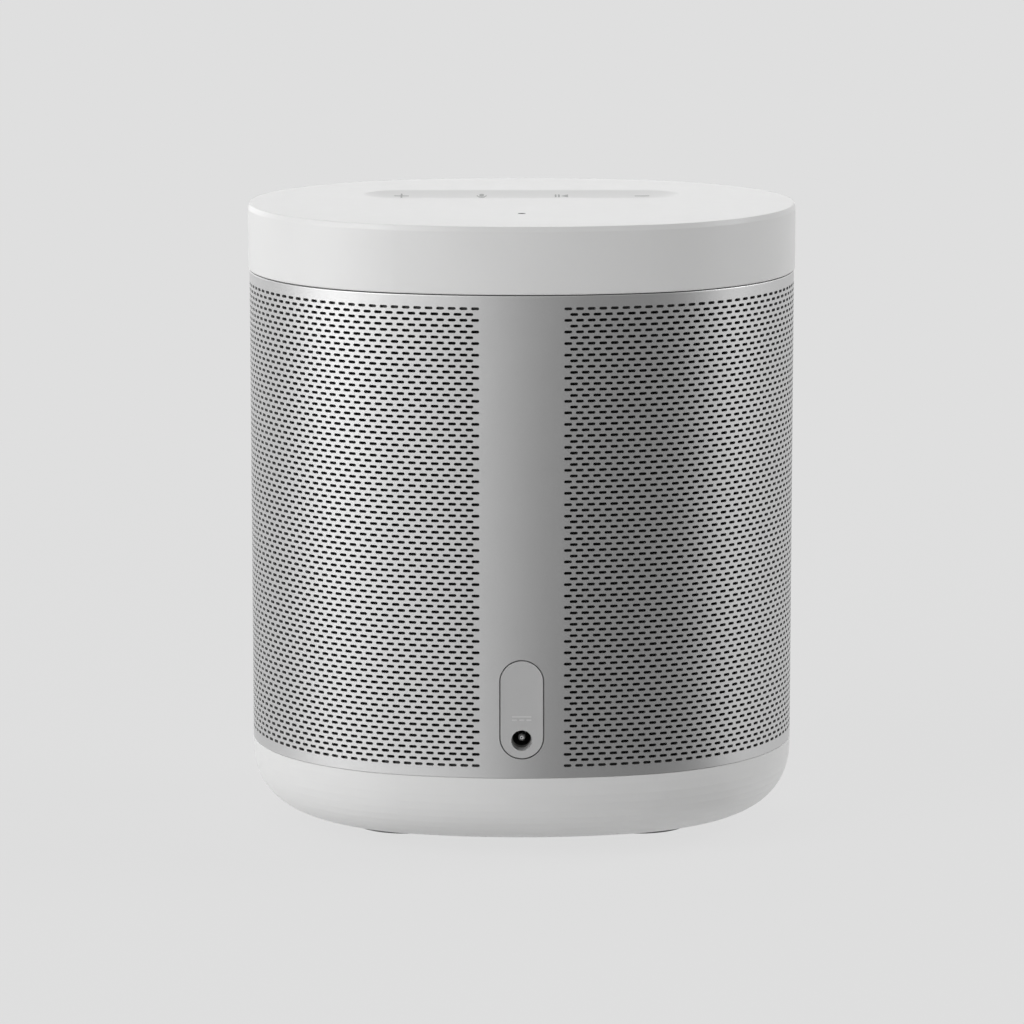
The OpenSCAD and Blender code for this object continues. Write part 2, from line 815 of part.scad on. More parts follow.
module port_pilots() {
    port_places() translate([0, 0, -pass])
        cylinder(r = small_r + screw_fit, h = port_screw_in + tip_gap + pass, $fn = small_fn);
}

module cabinet_gasket() {
    color("black") oval_ring(cabinet_inset + seat_gap, cabinet_in - seat_gap, rim_z, gasket_t);
}

module cabinet_lid() {
    tongue_t = 1.5;
    tongue_h = 2;
    color("darkslategray") difference() {
        union() {
            oval_plate(cabinet_inset, lid_z, lid_t);
            difference() {
                oval_ring(cabinet_in + fit_gap, cabinet_in + fit_gap + tongue_t,
                          rim_z - tongue_h, tongue_h + gasket_t + bite);
                lid_bosses(rim_z - tongue_h - pass, tongue_h + pass + gasket_t, lid_boss_r + seat_gap);
            }
            intersection() {
                lid_bosses(rim_z, gasket_t + bite, lid_boss_r - fit_gap);
                oval_plate(cabinet_in + fit_gap, rim_z, gasket_t + bite);
            }
            at_four(post_x, post_y) translate([0, 0, lid_top - bite])
                cylinder(r = small_boss_r, h = post_h + bite, $fn = small_fn);
            at_four(frame_leg_x, frame_leg_y) translate([0, 0, lid_top - bite])
                cylinder(r = leg_r, h = lid_post_h + bite);
        }
        lid_bosses(rim_z - pass, gasket_t + lid_t + 2 * pass, screw_r + shank_gap);
        at_four(post_x, post_y) translate([0, 0, lid_top])
            cylinder(r = small_r + screw_fit, h = post_h + pass, $fn = small_fn);
        at_four(frame_leg_x, frame_leg_y) translate([0, 0, lid_top + seat_gap])
            cylinder(r = screw_r + screw_fit, h = lid_post_h + pass, $fn = small_fn);
        translate([lead_x, 0, rim_z]) cylinder(r = grommet_r, h = gasket_t + lid_t + pass);
    }
}

module lid_screws() {
    color("silver") lid_boss_places() translate([0, 0, lid_top]) screw(screw_r, lid_screw_l);
}

// The speaker's lead passes the lid through a rubber grommet
lead_x = frame_leg_x;
grommet_r = 3.5;
module lead_grommet() {
    collar = 0.8;
    color("black") translate([lead_x, 0, 0]) difference() {
        union() {
            translate([0, 0, lid_z]) cylinder(r = grommet_r, h = lid_t);
            translate([0, 0, lid_top]) cylinder(r = grommet_r + collar, h = collar);
            translate([0, 0, lid_z - collar]) cylinder(r = grommet_r + collar, h = collar);
        }
        block([-lead_t / 2 - close_gap, -speaker_lead_w / 2 - close_gap, lid_z - pass],
              [lead_t / 2 + close_gap, speaker_lead_w / 2 + close_gap, lid_top + pass]);
    }
}

// --------------------------------------------------------------------- driver

module driver_basket() {
    window_w = 16;
    window_z = flange_z + 3.5;
    window_h = spider_z - 2 - window_z;
    color("gray") difference() {
        union() {
            rotate_extrude() basket_section();
            difference() {
                driver_places() translate([0, 0, flange_z]) cylinder(r = ear_r, h = basket_t);
                translate([0, 0, flange_z - pass]) cylinder(r = driver_r + 1, h = basket_t + 2 * pass);
            }
        }
        for (a = [0:90:270]) rotate([0, 0, a]) translate([0, -window_w / 2, window_z])
            cube([flange_r, window_w, window_h]);
        driver_places() translate([0, 0, flange_z - pass])
            cylinder(r = driver_screw_r + shank_gap, h = basket_t + 2 * pass, $fn = small_fn);
    }
}

// Half section: flange, step for the surround, conical wall, step for the
// spider and the seat under the magnet
module basket_section() {
    t = basket_t;
    step_r = spider_r + 2;
    step_top = edge_z + 1;
    spider_lip = spider_r - spider_glue;
    centre_r = plate_hole_r + 3;
    ledge_r = cone_r + surround_w;
    polygon([
        [flange_r, flange_z], [flange_r, flange_z + t], [driver_r + t, flange_z + t],
        [driver_r + t, step_top + t], [seat_r, step_top + t], [step_r + t, spider_z - 1 - t],
        [step_r + t, plate_z], [centre_r, plate_z], [centre_r, plate_z - t],
        [step_r, plate_z - t], [step_r, spider_z], [spider_lip, spider_z],
        [spider_lip, spider_z - t], [step_r - 1, spider_z - t],
        [seat_r - 2.5, step_top], [ledge_r, step_top], [ledge_r, edge_z],
        [driver_r, edge_z], [driver_r, flange_z]
    ]);
}

module driver_gasket() {
    color("black") ring(flange_r - seat_gap, driver_r + seat_gap, baffle_top, gasket_t);
}

module driver_screws() {
    color("silver") driver_places() translate([0, 0, flange_z + basket_t])
        screw(driver_screw_r, basket_t + gasket_t + driver_screw_in);
}

module pole_plate() {
    color("silver") ring(magnet_seat_r, plate_hole_r, plate_z, pole_plate_t);
}

module magnet() {
    color("dimgray") ring(magnet_r, plate_hole_r + 3, magnet_z, magnet_t);
}

module yoke() {
    vent_r = 2.5;
    color("silver") difference() {
        union() {
            translate([0, 0, yoke_z]) cylinder(r = magnet_seat_r, h = yoke_t);
            translate([0, 0, plate_z]) cylinder(r = pole_r, h = yoke_z - plate_z + bite);
        }
        translate([0, 0, plate_z - pass]) cylinder(r = vent_r, h = yoke_z + yoke_t, $fn = small_fn);
    }
}

// Strip with two solder tabs on the basket's flange
terminal_z = flange_z + basket_t;
terminal_h = 2;
tab_x = flange_r - 1.8;
tab_t = 0.8;
tab_h = 4;
module terminal_strip() {
    strip_l = 12;
    strip_w = flange_r - driver_r - basket_t - close_gap;
    tab_w = 1;
    tab_y = 1.2;
    color("tan") block([flange_r - strip_w, -strip_l / 2, terminal_z],
                       [flange_r, strip_l / 2, terminal_z + terminal_h]);
    color("silver") for (s = [-1, 1])
        translate([tab_x, s * tab_y - tab_w / 2, terminal_z + terminal_h]) cube([tab_t, tab_w, tab_h]);
}

// A half-round rubber roll between the cone and the basket
module surround() {
    glue_w = 1;
    flat_z = edge_z - surround_t;
    roll_r = surround_w / 2 + 0.3;
    mid = cone_r + surround_w / 2;
    outer = seat_r + 0.4;
    color("black") rotate_extrude() difference() {
        union() {
            translate([cone_r - glue_w, flat_z]) square([glue_w + 0.2, surround_t]);
            translate([mid + roll_r - bite, flat_z]) square([outer - mid - roll_r + bite, surround_t]);
            intersection() {
                translate([mid, edge_z]) circle(r = roll_r);
                translate([mid - roll_r, edge_z - roll_r]) square([2 * roll_r, roll_r]);
            }
        }
        translate([mid, edge_z]) circle(r = roll_r - surround_t);
    }
}

// The cone opens downwards. Its profile is a shallow curve from the surround up
// to the former
module cone() {
    steps = 8;
    neck_r = coil_r + coil_t;
    line = [for (i = [0:steps]) let (r = cone_r + (neck_r - cone_r) * i / steps) [r, cone_under(r)]];
    color("dimgray") rotate_extrude()
        polygon(concat(line, [for (i = [steps:-1:0]) line[i] + [0, cone_t]]));
}

// Domed cap over the former, bulging downwards
module dust_cap() {
    cap_r = coil_r + 2.2;
    cap_rise = 2.6;
    rim = cone_under(cap_r) - close_gap;
    dome_r = (cap_r * cap_r + cap_rise * cap_rise) / (2 * cap_rise);
    color("black") rotate_extrude() intersection() {
        difference() {
            translate([0, rim + dome_r - cap_rise]) circle(r = dome_r, $fn = 180);
            translate([0, rim + dome_r - cap_rise]) circle(r = dome_r - cone_t, $fn = 180);
        }
        translate([0, rim - 2 * cap_rise]) square([cap_r, 2 * cap_rise]);
    }
}
// Height of the cone's underside at a radius
cone_power = 1.25;
function cone_under(r) = let (u = (cone_r - r) / (cone_r - coil_r - coil_t))
    edge_z + (neck_z - edge_z) * pow(u, cone_power);

module coil_former() {
    color("peru") ring(coil_r + coil_t, coil_r, neck_z, former_top - neck_z);
}

module coil_winding() {
    color("orangered") ring(coil_r + coil_t + winding_t, coil_r + coil_t, winding_z, winding_h);
}

// Corrugated disc between the former and the basket's inner ledge
module spider() {
    inner = coil_r + coil_t + 0.05;
    outer = spider_r - close_gap;
    waves = 3;
    wave = 0.8;
    flat = 0.16;
    steps = 42;
    under = spider_z - basket_t - spider_t;
    line = [for (i = [0:steps]) let (u = i / steps, v = min(u / (1 - flat), 1))
        [inner + (outer - inner) * u, under + wave * sin(360 * waves * v) * sin(180 * v)]];
    color("goldenrod") rotate_extrude()
        polygon(concat(line, [for (i = [steps:-1:0]) line[i] + [0, spider_t]]));
}

// ---------------------------------------------------------------- electronics

module speaker_lead() {
    start_x = tab_x + tab_t;
    start_z = terminal_z + terminal_h + tab_h / 2;
    path = rounded([[start_x, start_z], [lead_x, start_z], [lead_x, board_top + plug_z],
                    [board_w / 2 - plug_edge, board_top + plug_z]], 2);
    color("black") translate([0, speaker_lead_w / 2, 0]) rotate([90, 0, 0])
        linear_extrude(height = speaker_lead_w) strip(path, lead_t);
}

module main_board() {
    color("darkgreen") translate([0, 0, board_z]) difference() {
        board(board_w, board_d, hole_edge, board_t);
        at_four(post_x, post_y) translate([0, 0, -pass])
            cylinder(r = small_r + shank_gap, h = board_t + 2 * pass, $fn = small_fn);
    }
}

// The shield can and the amplifier stand either side of the board's middle
part_x = board_w / 5;
part_y = 3;
module shield_can() {
    metal = 0.4;
    color("silver") translate([part_x, part_y, board_top]) difference() {
        board(shield_w, shield_w, 1, shield_h);
        translate([0, 0, -pass])
            board(shield_w - 2 * metal, shield_w - 2 * metal, 1, shield_h - metal + pass);
    }
}

chip_h = 1.2;
module amplifier_chip() {
    color("black") translate([-part_x, part_y, board_top]) board(chip_w, chip_w, 0.2, chip_h);
}

module heat_sink() {
    fin_t = 1.2;
    plate = 1.5;
    step = (sink_w - fin_t) / (sink_fins - 1);
    color("silver") translate([-part_x - sink_w / 2, part_y - sink_w / 2, board_top + chip_h])
        union() {
            cube([sink_w, sink_w, plate]);
            for (i = [0:sink_fins - 1]) translate([i * step, 0, 0]) cube([fin_t, sink_w, sink_h]);
        }
}

// The inductors stand along the board's front edge, the capacitors along its rear
row_edge = 3;
row_x = board_w / 2 - 11;
module inductors() {
    inductor_h = 4;
    color("dimgray") for (x = [-row_x, -row_x + inductor_w + 2])
        translate([x, board_d / 2 - row_edge - inductor_w / 2, board_top])
            board(inductor_w, inductor_w, 1, inductor_h);
}

module capacitors() {
    crimp = 0.5;
    color("black") for (x = [-row_x, -row_x + capacitor_d + 2])
        translate([x, -board_d / 2 + row_edge + capacitor_d / 2, board_top]) {
            cylinder(d = capacitor_d, h = capacitor_h);
            translate([0, 0, capacitor_h]) cylinder(d = capacitor_d - 2 * crimp, h = crimp);
        }
}

// Sockets for the speaker's lead, the power lead and the touch ribbon
module board_connectors() {
    ribbon_socket = [ribbon_w + 2, 6, ribbon_socket_h];
    color("ivory") {
        block([board_w / 2 - plug_edge - socket_l, -socket_w / 2, board_top],
              [board_w / 2 - plug_edge, socket_w / 2, board_top + plug_h]);
        lead_plane() block([-socket_w / 2, power_lead_end, board_top],
                           [socket_w / 2, power_lead_end + socket_l, board_top + plug_h]);
        for (z = [board_top, touch_z - ribbon_socket[2]])
            translate([-ribbon_socket[0] / 2, touch_lead_y - ribbon_socket[1], z]) cube(ribbon_socket);
    }
}

module board_screws() {
    color("silver") at_four(post_x, post_y)
        translate([0, 0, board_top]) screw(small_r, board_t + post_h - tip_gap);
}

ribbon_t = 0.3;
ribbon_edge = 5;
ribbon_bow = 7;
ribbon_socket_h = 2;
touch_lead_y = board_d / 2 - ribbon_edge;
module touch_ribbon() {
    bow = touch_lead_y + ribbon_bow;
    low = board_top + ribbon_socket_h / 2;
    high = touch_z - ribbon_socket_h / 2;
    path = rounded([[touch_lead_y, low], [bow, low], [bow, high], [touch_lead_y, high]], 3);
    color("gainsboro") rotate([90, 0, 90]) translate([0, 0, -ribbon_w / 2])
        linear_extrude(height = ribbon_w) strip(path, ribbon_t);
}

// ------------------------------------------------------------------ rear port

// Puts children in the upright plane of the power lead, beside the port
module lead_plane() {
    translate([0, face_cy, 0]) rotate([0, 0, lead_angle]) translate([0, -face_cy, 0]) children();
}

power_board_y = jack_end_y;
power_lead_start = power_board_y - 3;
power_lead_end = -board_d / 2 - 0.2;
power_lead_z = jack_z + 1;
module power_lead() {
    wall = -half_d + lead_out - lead_t / 2;
    path = rounded([[power_lead_start, power_lead_z], [wall, power_lead_z],
                    [wall, board_top + plug_z], [power_lead_end, board_top + plug_z]], 1.5);
    color("black") lead_plane() rotate([90, 0, 90]) translate([0, 0, -lead_w / 2])
        linear_extrude(height = lead_w) strip(path, lead_t);
}

module power_board() {
    color("darkgreen") difference() {
        block([-housing_r - 2, power_board_y, jack_z - housing_r],
              [lead_socket_x + socket_w / 2 + 2, power_board_y + power_board_t, baffle_z - seat_gap]);
        contact_places() block([-contact_t / 2 - close_gap, power_board_y - pass, -contact_w / 2 - close_gap],
            [contact_t / 2 + close_gap, power_board_y + power_board_t + pass, contact_w / 2 + close_gap]);
    }
}

// Socket on the power board, open where the lead's plug goes in
module power_connector() {
    socket_h = 6;
    color("ivory") difference() {
        block([lead_socket_x - socket_w / 2, power_board_y - socket_l, power_lead_z - socket_h / 2],
              [lead_socket_x + socket_w / 2, power_board_y, power_lead_z + socket_h / 2]);
        lead_plane() block([-lead_w / 2 - fit_gap, -half_d, power_lead_z - lead_t / 2 - fit_gap],
                           [lead_w / 2 + fit_gap, power_lead_start, power_lead_z + lead_t / 2 + fit_gap]);
    }
}
lead_socket_x = (face_cy - power_board_y + socket_l / 2) * tan(lead_angle);

// Obround plate that closes the sleeve's rear opening, with the flange that
// holds it from inside
module port_plate() {
    wide = port_w + 2 * plate_flange;
    color("lightgray") difference() {
        union() {
            obround_plate(port_w, port_h, port_z, port_y, plate_flange_y - port_y + bite);
            obround_plate(wide, port_h + 2 * plate_flange, port_z - plate_flange,
                          plate_flange_y, plate_flange_t);
        }
        translate([0, port_y - pass, jack_z]) rotate([-90, 0, 0])
            cylinder(d = port_hole_d, h = port_t + 2 * pass);
    }
}

// Holder of the power socket, hung under the baffle by two screws
module port_housing() {
    color("dimgray") difference() {
        union() {
            block([-housing_r, housing_y, jack_z - housing_r], [housing_r, jack_end_y, baffle_z]);
            block([-lug_x - lug_r, lug_y - lug_r, baffle_z - lug_t],
                  [lug_x + lug_r, lug_y + lug_r, baffle_z]);
        }
        block([-jack_w / 2 - screw_fit, housing_y - pass, jack_z - jack_w / 2 - screw_fit],
              [jack_w / 2 + screw_fit, jack_end_y + pass, jack_z + jack_w / 2 + screw_fit]);
        port_places() translate([0, 0, -lug_t - pass])
            cylinder(r = small_r + shank_gap, h = lug_t + 2 * pass, $fn = small_fn);
    }
}

module port_screws() {
    color("silver") port_places() translate([0, 0, -lug_t])
        mirror([0, 0, 1]) screw(small_r, lug_t + port_screw_in);
}

module dc_jack() {
    bore_l = jack_l - jack_floor_t;
    slot_t = contact_t / 2 + close_gap;
    slot_w = contact_w / 2 + close_gap;
    color("black") difference() {
        block([-jack_w / 2, jack_y, jack_z - jack_w / 2], [jack_w / 2, jack_end_y, jack_z + jack_w / 2]);
        jack_rod(jack_bore_d / 2, -pass, bore_l + pass);
        jack_rod(pin_root_r, bore_l - pass, jack_floor_t + 2 * pass);
        contact_places() block([-slot_t, jack_end_y - contact_in - close_gap, -slot_w],
                               [slot_t, jack_end_y + pass, slot_w]);
    }
}

// A rod on the socket's axis, starting at a depth behind the socket's face
module jack_rod(r, depth, l, tip_r = 0) {
    translate([0, jack_y + depth, jack_z]) rotate([-90, 0, 0])
        cylinder(r1 = tip_r > 0 ? tip_r : r, r2 = r, h = l, $fn = small_fn);
}

module jack_pin() {
    nose = 0.35;
    pin_r = jack_pin_d / 2;
    color("silver") {
        jack_rod(pin_r, pin_recess, nose, pin_r - nose);
        jack_rod(pin_r, pin_recess + nose, jack_l - jack_floor_t - pin_recess - nose);
        jack_rod(pin_root_r, jack_l - jack_floor_t, jack_floor_t);
    }
}

// Spring contacts that end in solder tails through the power board
contact_x = 3;
contact_t = 0.8;
contact_w = 2;
contact_in = 1.4;
module contact_places() {
    for (s = [-1, 1]) translate([s * contact_x, 0, jack_z]) children();
}
module jack_contacts() {
    tail = power_board_t + 0.8;
    color("gold") contact_places() block([-contact_t / 2, jack_end_y - contact_in, -contact_w / 2],
                                         [contact_t / 2, jack_end_y + tail, contact_w / 2]);
}

// ----------------------------------------------------------------------- base

module base_shell() {
    color("white") difference() {
        union() {
            oval_sweep() polygon(bowl_section());
            oval_plate(bowl_core - bite, base_z, base_wall);
            oval_ring(sleeve_t + fit_gap, sleeve_t + fit_gap + lip_t, sleeve_z - lip_root, lip_root + lip_h);
            at_four(strut_x, strut_y) translate([0, 0, base_z + bite])
                cylinder(r = strut_foot_r, h = strut_z - base_z - bite);
            diffuser_places() translate([0, 0, base_z + bite])
                cylinder(r = small_boss_r, h = diffuser_z - base_z - bite, $fn = small_fn);
        }
        block([-housing_r - seat_gap, -half_d, jack_z - housing_r - seat_gap],
              [housing_r + seat_gap, jack_end_y, lip_top + pass]);
        foot_frame(close_gap, base_z - pass, foot_groove + pass);
        at_four(strut_x, strut_y) {
            translate([0, 0, base_z - pass]) cylinder(r = head_well_r, h = base_seat - base_z + pass);
            translate([0, 0, base_seat - pass])
                cylinder(r = screw_r + shank_gap, h = strut_z - base_seat + 2 * pass, $fn = small_fn);
        }
        diffuser_places() translate([0, 0, floor_top])
            cylinder(r = small_r + screw_fit, h = diffuser_boss_h + pass, $fn = small_fn);
    }
}

// Section of the bowl from the sleeve's seat round to the flat underside. The
// rounding is a superellipse, a little fuller than an ellipse.
lip_root = 4;
bowl_core = bowl_w + 3.2;
bowl_power = 2.2;
bowl_steps = 12;
function bowl_point(w, h, inset, low, a) =
    [-inset - w * (1 - pow(cos(a), 2 / bowl_power)), low + h * (1 - pow(sin(a), 2 / bowl_power))];
function bowl_section() = concat(
    [[-base_wall, sleeve_z], [0, sleeve_z]],
    [for (i = [0:bowl_steps]) bowl_point(bowl_w, bowl_h, 0, base_z, 90 * i / bowl_steps)],
    [[-bowl_core, base_z], [-bowl_core, floor_top]],
    [for (i = [bowl_steps:-1:0]) bowl_point(bowl_w - base_wall, bowl_h - base_wall, base_wall,
                                            floor_top, 90 * i / bowl_steps)]
);

module base_screws() {
    color("silver") at_four(strut_x, strut_y) translate([0, 0, base_seat])
        mirror([0, 0, 1]) screw(screw_r, base_screw_l);
}

module foot_ring() {
    color("dimgray") foot_frame(0, 0, base_z + foot_groove);
}

// The foot's closed ring, grown by a clearance on both sides
module foot_frame(grow, z, h) {
    hole_w = 2 * (foot_w + grow);
    translate([0, 0, z]) difference() {
        board(foot_l + 2 * grow, foot_d + 2 * grow, foot_corner + grow, h);
        translate([0, 0, -pass])
            board(foot_l - hole_w, foot_d - hole_w, foot_corner - foot_w - grow, h + 2 * pass);
    }
}

module diffuser_places() {
    for (a = [90:120:330]) rotate([0, 0, a]) translate([diffuser_screw_r, 0, 0]) children();
}

// Flared cone that turns the driver's sound outwards, a shell open underneath
module diffuser() {
    color("dimgray") difference() {
        rotate_extrude() diffuser_section();
        diffuser_places() translate([0, 0, diffuser_z - pass])
            cylinder(r = small_r + shank_gap, h = flange_t + 2 * pass, $fn = small_fn);
    }
}

module diffuser_section() {
    steps = 12;
    flare = 2.2;
    foot_r = diffuser_r - 9;
    tip_r = 3;
    wall = 1.8;
    curve = [for (i = [0:steps]) let (u = i / steps)
        [tip_r + (foot_r - tip_r) * pow(u, flare), diffuser_z + diffuser_h - (diffuser_h - flange_t) * u]];
    inner = [for (i = [steps:-1:2]) curve[i] - [wall, wall]];
    polygon(concat([[0, diffuser_z + diffuser_h]], curve,
                   [[diffuser_r, diffuser_z + flange_t], [diffuser_r, diffuser_z],
                    [foot_r - wall, diffuser_z]],
                   inner, [[0, inner[len(inner) - 1][1]]]));
}

module diffuser_screws() {
    color("silver") diffuser_places() translate([0, 0, diffuser_z + flange_t])
        screw(small_r, flange_t + diffuser_boss_h - tip_gap);
}

// ------------------------------------------------------------------- assembly

top_cap();
cap_frame();
frame_screws();
touch_board();
touch_pads();
status_leds();
touch_screws();
mic_capsule();
mic_boot();
antennas();
grille_sleeve();
acoustic_cloth();
cabinet_body();
cabinet_gasket();
cabinet_lid();
lid_screws();
lead_grommet();
driver_basket();
driver_gasket();
driver_screws();
pole_plate();
magnet();
yoke();
terminal_strip();
surround();
cone();
dust_cap();
coil_former();
coil_winding();
spider();
speaker_lead();
main_board();
shield_can();
amplifier_chip();
heat_sink();
inductors();
capacitors();
board_connectors();
board_screws();
touch_ribbon();
power_board();
power_connector();
power_lead();
port_plate();
port_housing();
port_screws();
dc_jack();
jack_pin();
jack_contacts();
base_shell();
base_screws();
foot_ring();
diffuser();
diffuser_screws();
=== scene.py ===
import json
import math

import bmesh
import bpy
import numpy as np
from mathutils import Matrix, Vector, geometry


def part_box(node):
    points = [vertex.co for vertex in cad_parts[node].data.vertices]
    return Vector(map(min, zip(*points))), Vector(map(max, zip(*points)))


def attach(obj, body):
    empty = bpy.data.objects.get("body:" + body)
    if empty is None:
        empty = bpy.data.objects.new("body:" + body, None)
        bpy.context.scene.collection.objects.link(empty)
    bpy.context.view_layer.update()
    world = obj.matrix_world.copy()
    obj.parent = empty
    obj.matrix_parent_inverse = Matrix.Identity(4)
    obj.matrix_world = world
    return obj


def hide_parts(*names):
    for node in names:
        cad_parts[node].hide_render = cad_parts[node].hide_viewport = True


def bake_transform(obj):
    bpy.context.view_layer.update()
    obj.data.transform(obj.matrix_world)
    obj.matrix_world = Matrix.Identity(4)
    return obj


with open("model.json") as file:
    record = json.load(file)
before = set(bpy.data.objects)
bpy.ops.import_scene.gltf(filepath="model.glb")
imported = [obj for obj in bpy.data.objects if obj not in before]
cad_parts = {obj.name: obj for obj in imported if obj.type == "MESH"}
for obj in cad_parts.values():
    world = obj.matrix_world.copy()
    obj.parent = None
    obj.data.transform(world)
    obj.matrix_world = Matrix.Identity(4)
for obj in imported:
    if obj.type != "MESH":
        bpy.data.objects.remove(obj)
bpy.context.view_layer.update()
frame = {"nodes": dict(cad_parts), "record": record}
NODES = frame["nodes"]
MM = 0.001
TINY = 1e-12

# ------------------------------------------------------------ casing outline
# The sleeve follows an oval of four arcs. The line from an end's centre to a
# face's centre is the long side of a 7-24-25 triangle.

sleeve_low, sleeve_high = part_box("grille_sleeve")
HALF_W, HALF_D = sleeve_high.x, sleeve_high.y
UNIT = round((HALF_W - HALF_D) / 6, 6)
END_R = HALF_D - UNIT
END_CX = 7 * UNIT
FACE_CY = 24 * UNIT
FACE_R = END_R + 25 * UNIT
FACE_HALF = math.atan2(7, 24)
FACE_ARC = FACE_R * FACE_HALF
END_ARC = END_R * (math.pi / 2 - FACE_HALF)
LOOP = 4 * (FACE_ARC + END_ARC)
ARCS = (
    (FACE_ARC, FACE_R, 0.0, FACE_CY),
    (2 * END_ARC, END_R, END_CX, 0.0),
    (2 * FACE_ARC, FACE_R, 0.0, -FACE_CY),
    (2 * END_ARC, END_R, -END_CX, 0.0),
    (FACE_ARC, FACE_R, 0.0, FACE_CY),
)


def outline(s, inset):
    """Points at arc lengths s from the rear centre towards +X, a distance inside the outline."""
    s = np.mod(np.asarray(s, float), LOOP)
    inset = np.broadcast_to(np.asarray(inset, float), s.shape)
    x, y = np.zeros_like(s), np.zeros_like(s)
    start = turn = 0.0
    for length, radius, cx, cy in ARCS:
        here = (s >= start - TINY) & (s <= start + length + TINY)
        a = turn + (s[here] - start) / radius
        x[here] = cx + (radius - inset[here]) * np.sin(a)
        y[here] = cy - (radius - inset[here]) * np.cos(a)
        start += length
        turn += length / radius
    return x, y


# -------------------------------------------------------------- mesh helpers

WELD = 1e-8  # points of a sheet closer than this are one
MAP_MARGIN = MM  # free space round each island of a bake map
MAP_WALL = 0.15 * MM  # width of a cut edge's wall in a bake map


def add_object(name, data):
    ob = bpy.data.objects.new(name, data)
    bpy.context.scene.collection.objects.link(ob)
    return ob


def add_mesh(name, me, body, material):
    ob = add_object(name, me)
    if material is not None:
        me.materials.append(material)
    if body:
        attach(ob, body)
    return ob


def new_object(name, points, faces, body="casing", material=None, smooth=True):
    me = bpy.data.meshes.new(name)
    me.from_pydata([tuple(p) for p in points], [], [tuple(f) for f in faces])
    me.validate()
    me.polygons.foreach_set("use_smooth", [smooth] * len(me.polygons))
    return add_mesh(name, me, body, material)


def sharpen(ob, degrees):
    """Marks edges sharper than an angle, so that smooth shading stops at them."""
    bm = bmesh.new()
    bm.from_mesh(ob.data)
    for e in bm.edges:
        if len(e.link_faces) != 2 or e.calc_face_angle(0.0) > math.radians(degrees):
            e.smooth = False
    bm.to_mesh(ob.data)
    bm.free()


def sheet_mesh(name, flat, tris, thickness, body="casing", material=None, bevel=None):
    """A closed sheet of even thickness on the outline. flat holds (arc length, height)
    pairs and tris its outer face; every open edge gets a wall."""
    key = np.round(flat / WELD).astype(np.int64)
    key[:, 0] = np.mod(key[:, 0], int(round(LOOP / WELD)))
    _, first, back = np.unique(key, axis=0, return_index=True, return_inverse=True)
    back = back.ravel()
    flat, tris = flat[first], back[tris]
    tris = tris[(tris != np.roll(tris, 1, axis=1)).all(axis=1)]
    n = len(flat)
    sides = np.concatenate([tris[:, [0, 1]], tris[:, [1, 2]], tris[:, [2, 0]]])
    code = np.minimum(sides[:, 0], sides[:, 1]) * n + np.maximum(sides[:, 0], sides[:, 1])
    _, where, count = np.unique(code, return_index=True, return_counts=True)
    rim = sides[where[count == 1]]
    depth = np.zeros(n) if bevel is None else bevel(flat)
    xo, yo = outline(flat[:, 0], depth)
    xi, yi = outline(flat[:, 0], thickness)
    points = np.concatenate([
        np.stack([xo, yo, flat[:, 1]], 1), np.stack([xi, yi, flat[:, 1]], 1)])
    back_tris = tris[:, ::-1] + n
    walls = np.stack([rim[:, 1], rim[:, 0], rim[:, 0] + n, rim[:, 1] + n], 1)
    me = bpy.data.meshes.new(name)
    loops = np.concatenate([tris.ravel(), back_tris.ravel(), walls.ravel()]).astype(np.int32)
    totals = np.concatenate([np.full(2 * len(tris), 3), np.full(len(walls), 4)]).astype(np.int32)
    starts = np.concatenate([[0], np.cumsum(totals)[:-1]]).astype(np.int32)
    me.vertices.add(len(points))
    me.vertices.foreach_set("co", points.astype(np.float32).ravel())
    me.loops.add(len(loops))
    me.loops.foreach_set("vertex_index", loops)
    me.polygons.add(len(totals))
    me.polygons.foreach_set("loop_start", starts)
    me.polygons.foreach_set("loop_total", totals)
    me.polygons.foreach_set("use_smooth", np.ones(len(totals), bool))
    me.update(calc_edges=True)
    # sharp rims: an edge of a wall that is also an edge of the front or back face
    edges = np.empty(len(me.edges) * 2, np.int32)
    me.edges.foreach_get("vertices", edges)
    edges = np.sort(edges.reshape(-1, 2), axis=1).astype(np.int64)
    total = len(points)
    sharp_code = np.sort(np.concatenate([rim, rim + n]), axis=1)
    sharp_code = sharp_code[:, 0] * total + sharp_code[:, 1]
    sharp = np.isin(edges[:, 0] * total + edges[:, 1], sharp_code)
    flag = me.attributes.new("sharp_edge", "BOOLEAN", "EDGE")
    flag.data.foreach_set("value", sharp)
    # a bake map laid out like the sheet itself: front above, back below, walls in the holes
    rise = flat[:, 1] - flat[:, 1].min()
    lift = rise.max() + 2 * MAP_MARGIN
    span = flat[:, 0] - flat[:, 0].min()
    if span.max() > 0.9 * LOOP:
        # the sheet crosses the rear centre, where the arc length starts again
        span = np.mod(flat[:, 0] + LOOP / 2, LOOP)
        span -= span.min()
    uv_front = np.stack([span + MAP_MARGIN, rise + lift + MAP_MARGIN], 1)
    uv_back = np.stack([span + MAP_MARGIN, rise + MAP_MARGIN], 1)
    along = uv_front[rim[:, 1]] - uv_front[rim[:, 0]]
    out = np.stack([along[:, 1], -along[:, 0]], 1)
    out /= np.maximum(np.linalg.norm(out, axis=1, keepdims=True), TINY)
    step = out * MAP_WALL
    wall_uv = np.stack([
        uv_front[rim[:, 1]], uv_front[rim[:, 0]],
        uv_front[rim[:, 0]] + step, uv_front[rim[:, 1]] + step], 1).reshape(-1, 2)
    uv = np.concatenate([uv_front[tris.ravel()], uv_back[tris[:, ::-1].ravel()], wall_uv])
    uv /= uv.max() + MAP_MARGIN
    layer = me.uv_layers.new(name="OFBake")
    layer.data.foreach_set("uv", uv.astype(np.float32).ravel())
    return add_mesh(name, me, body, material)


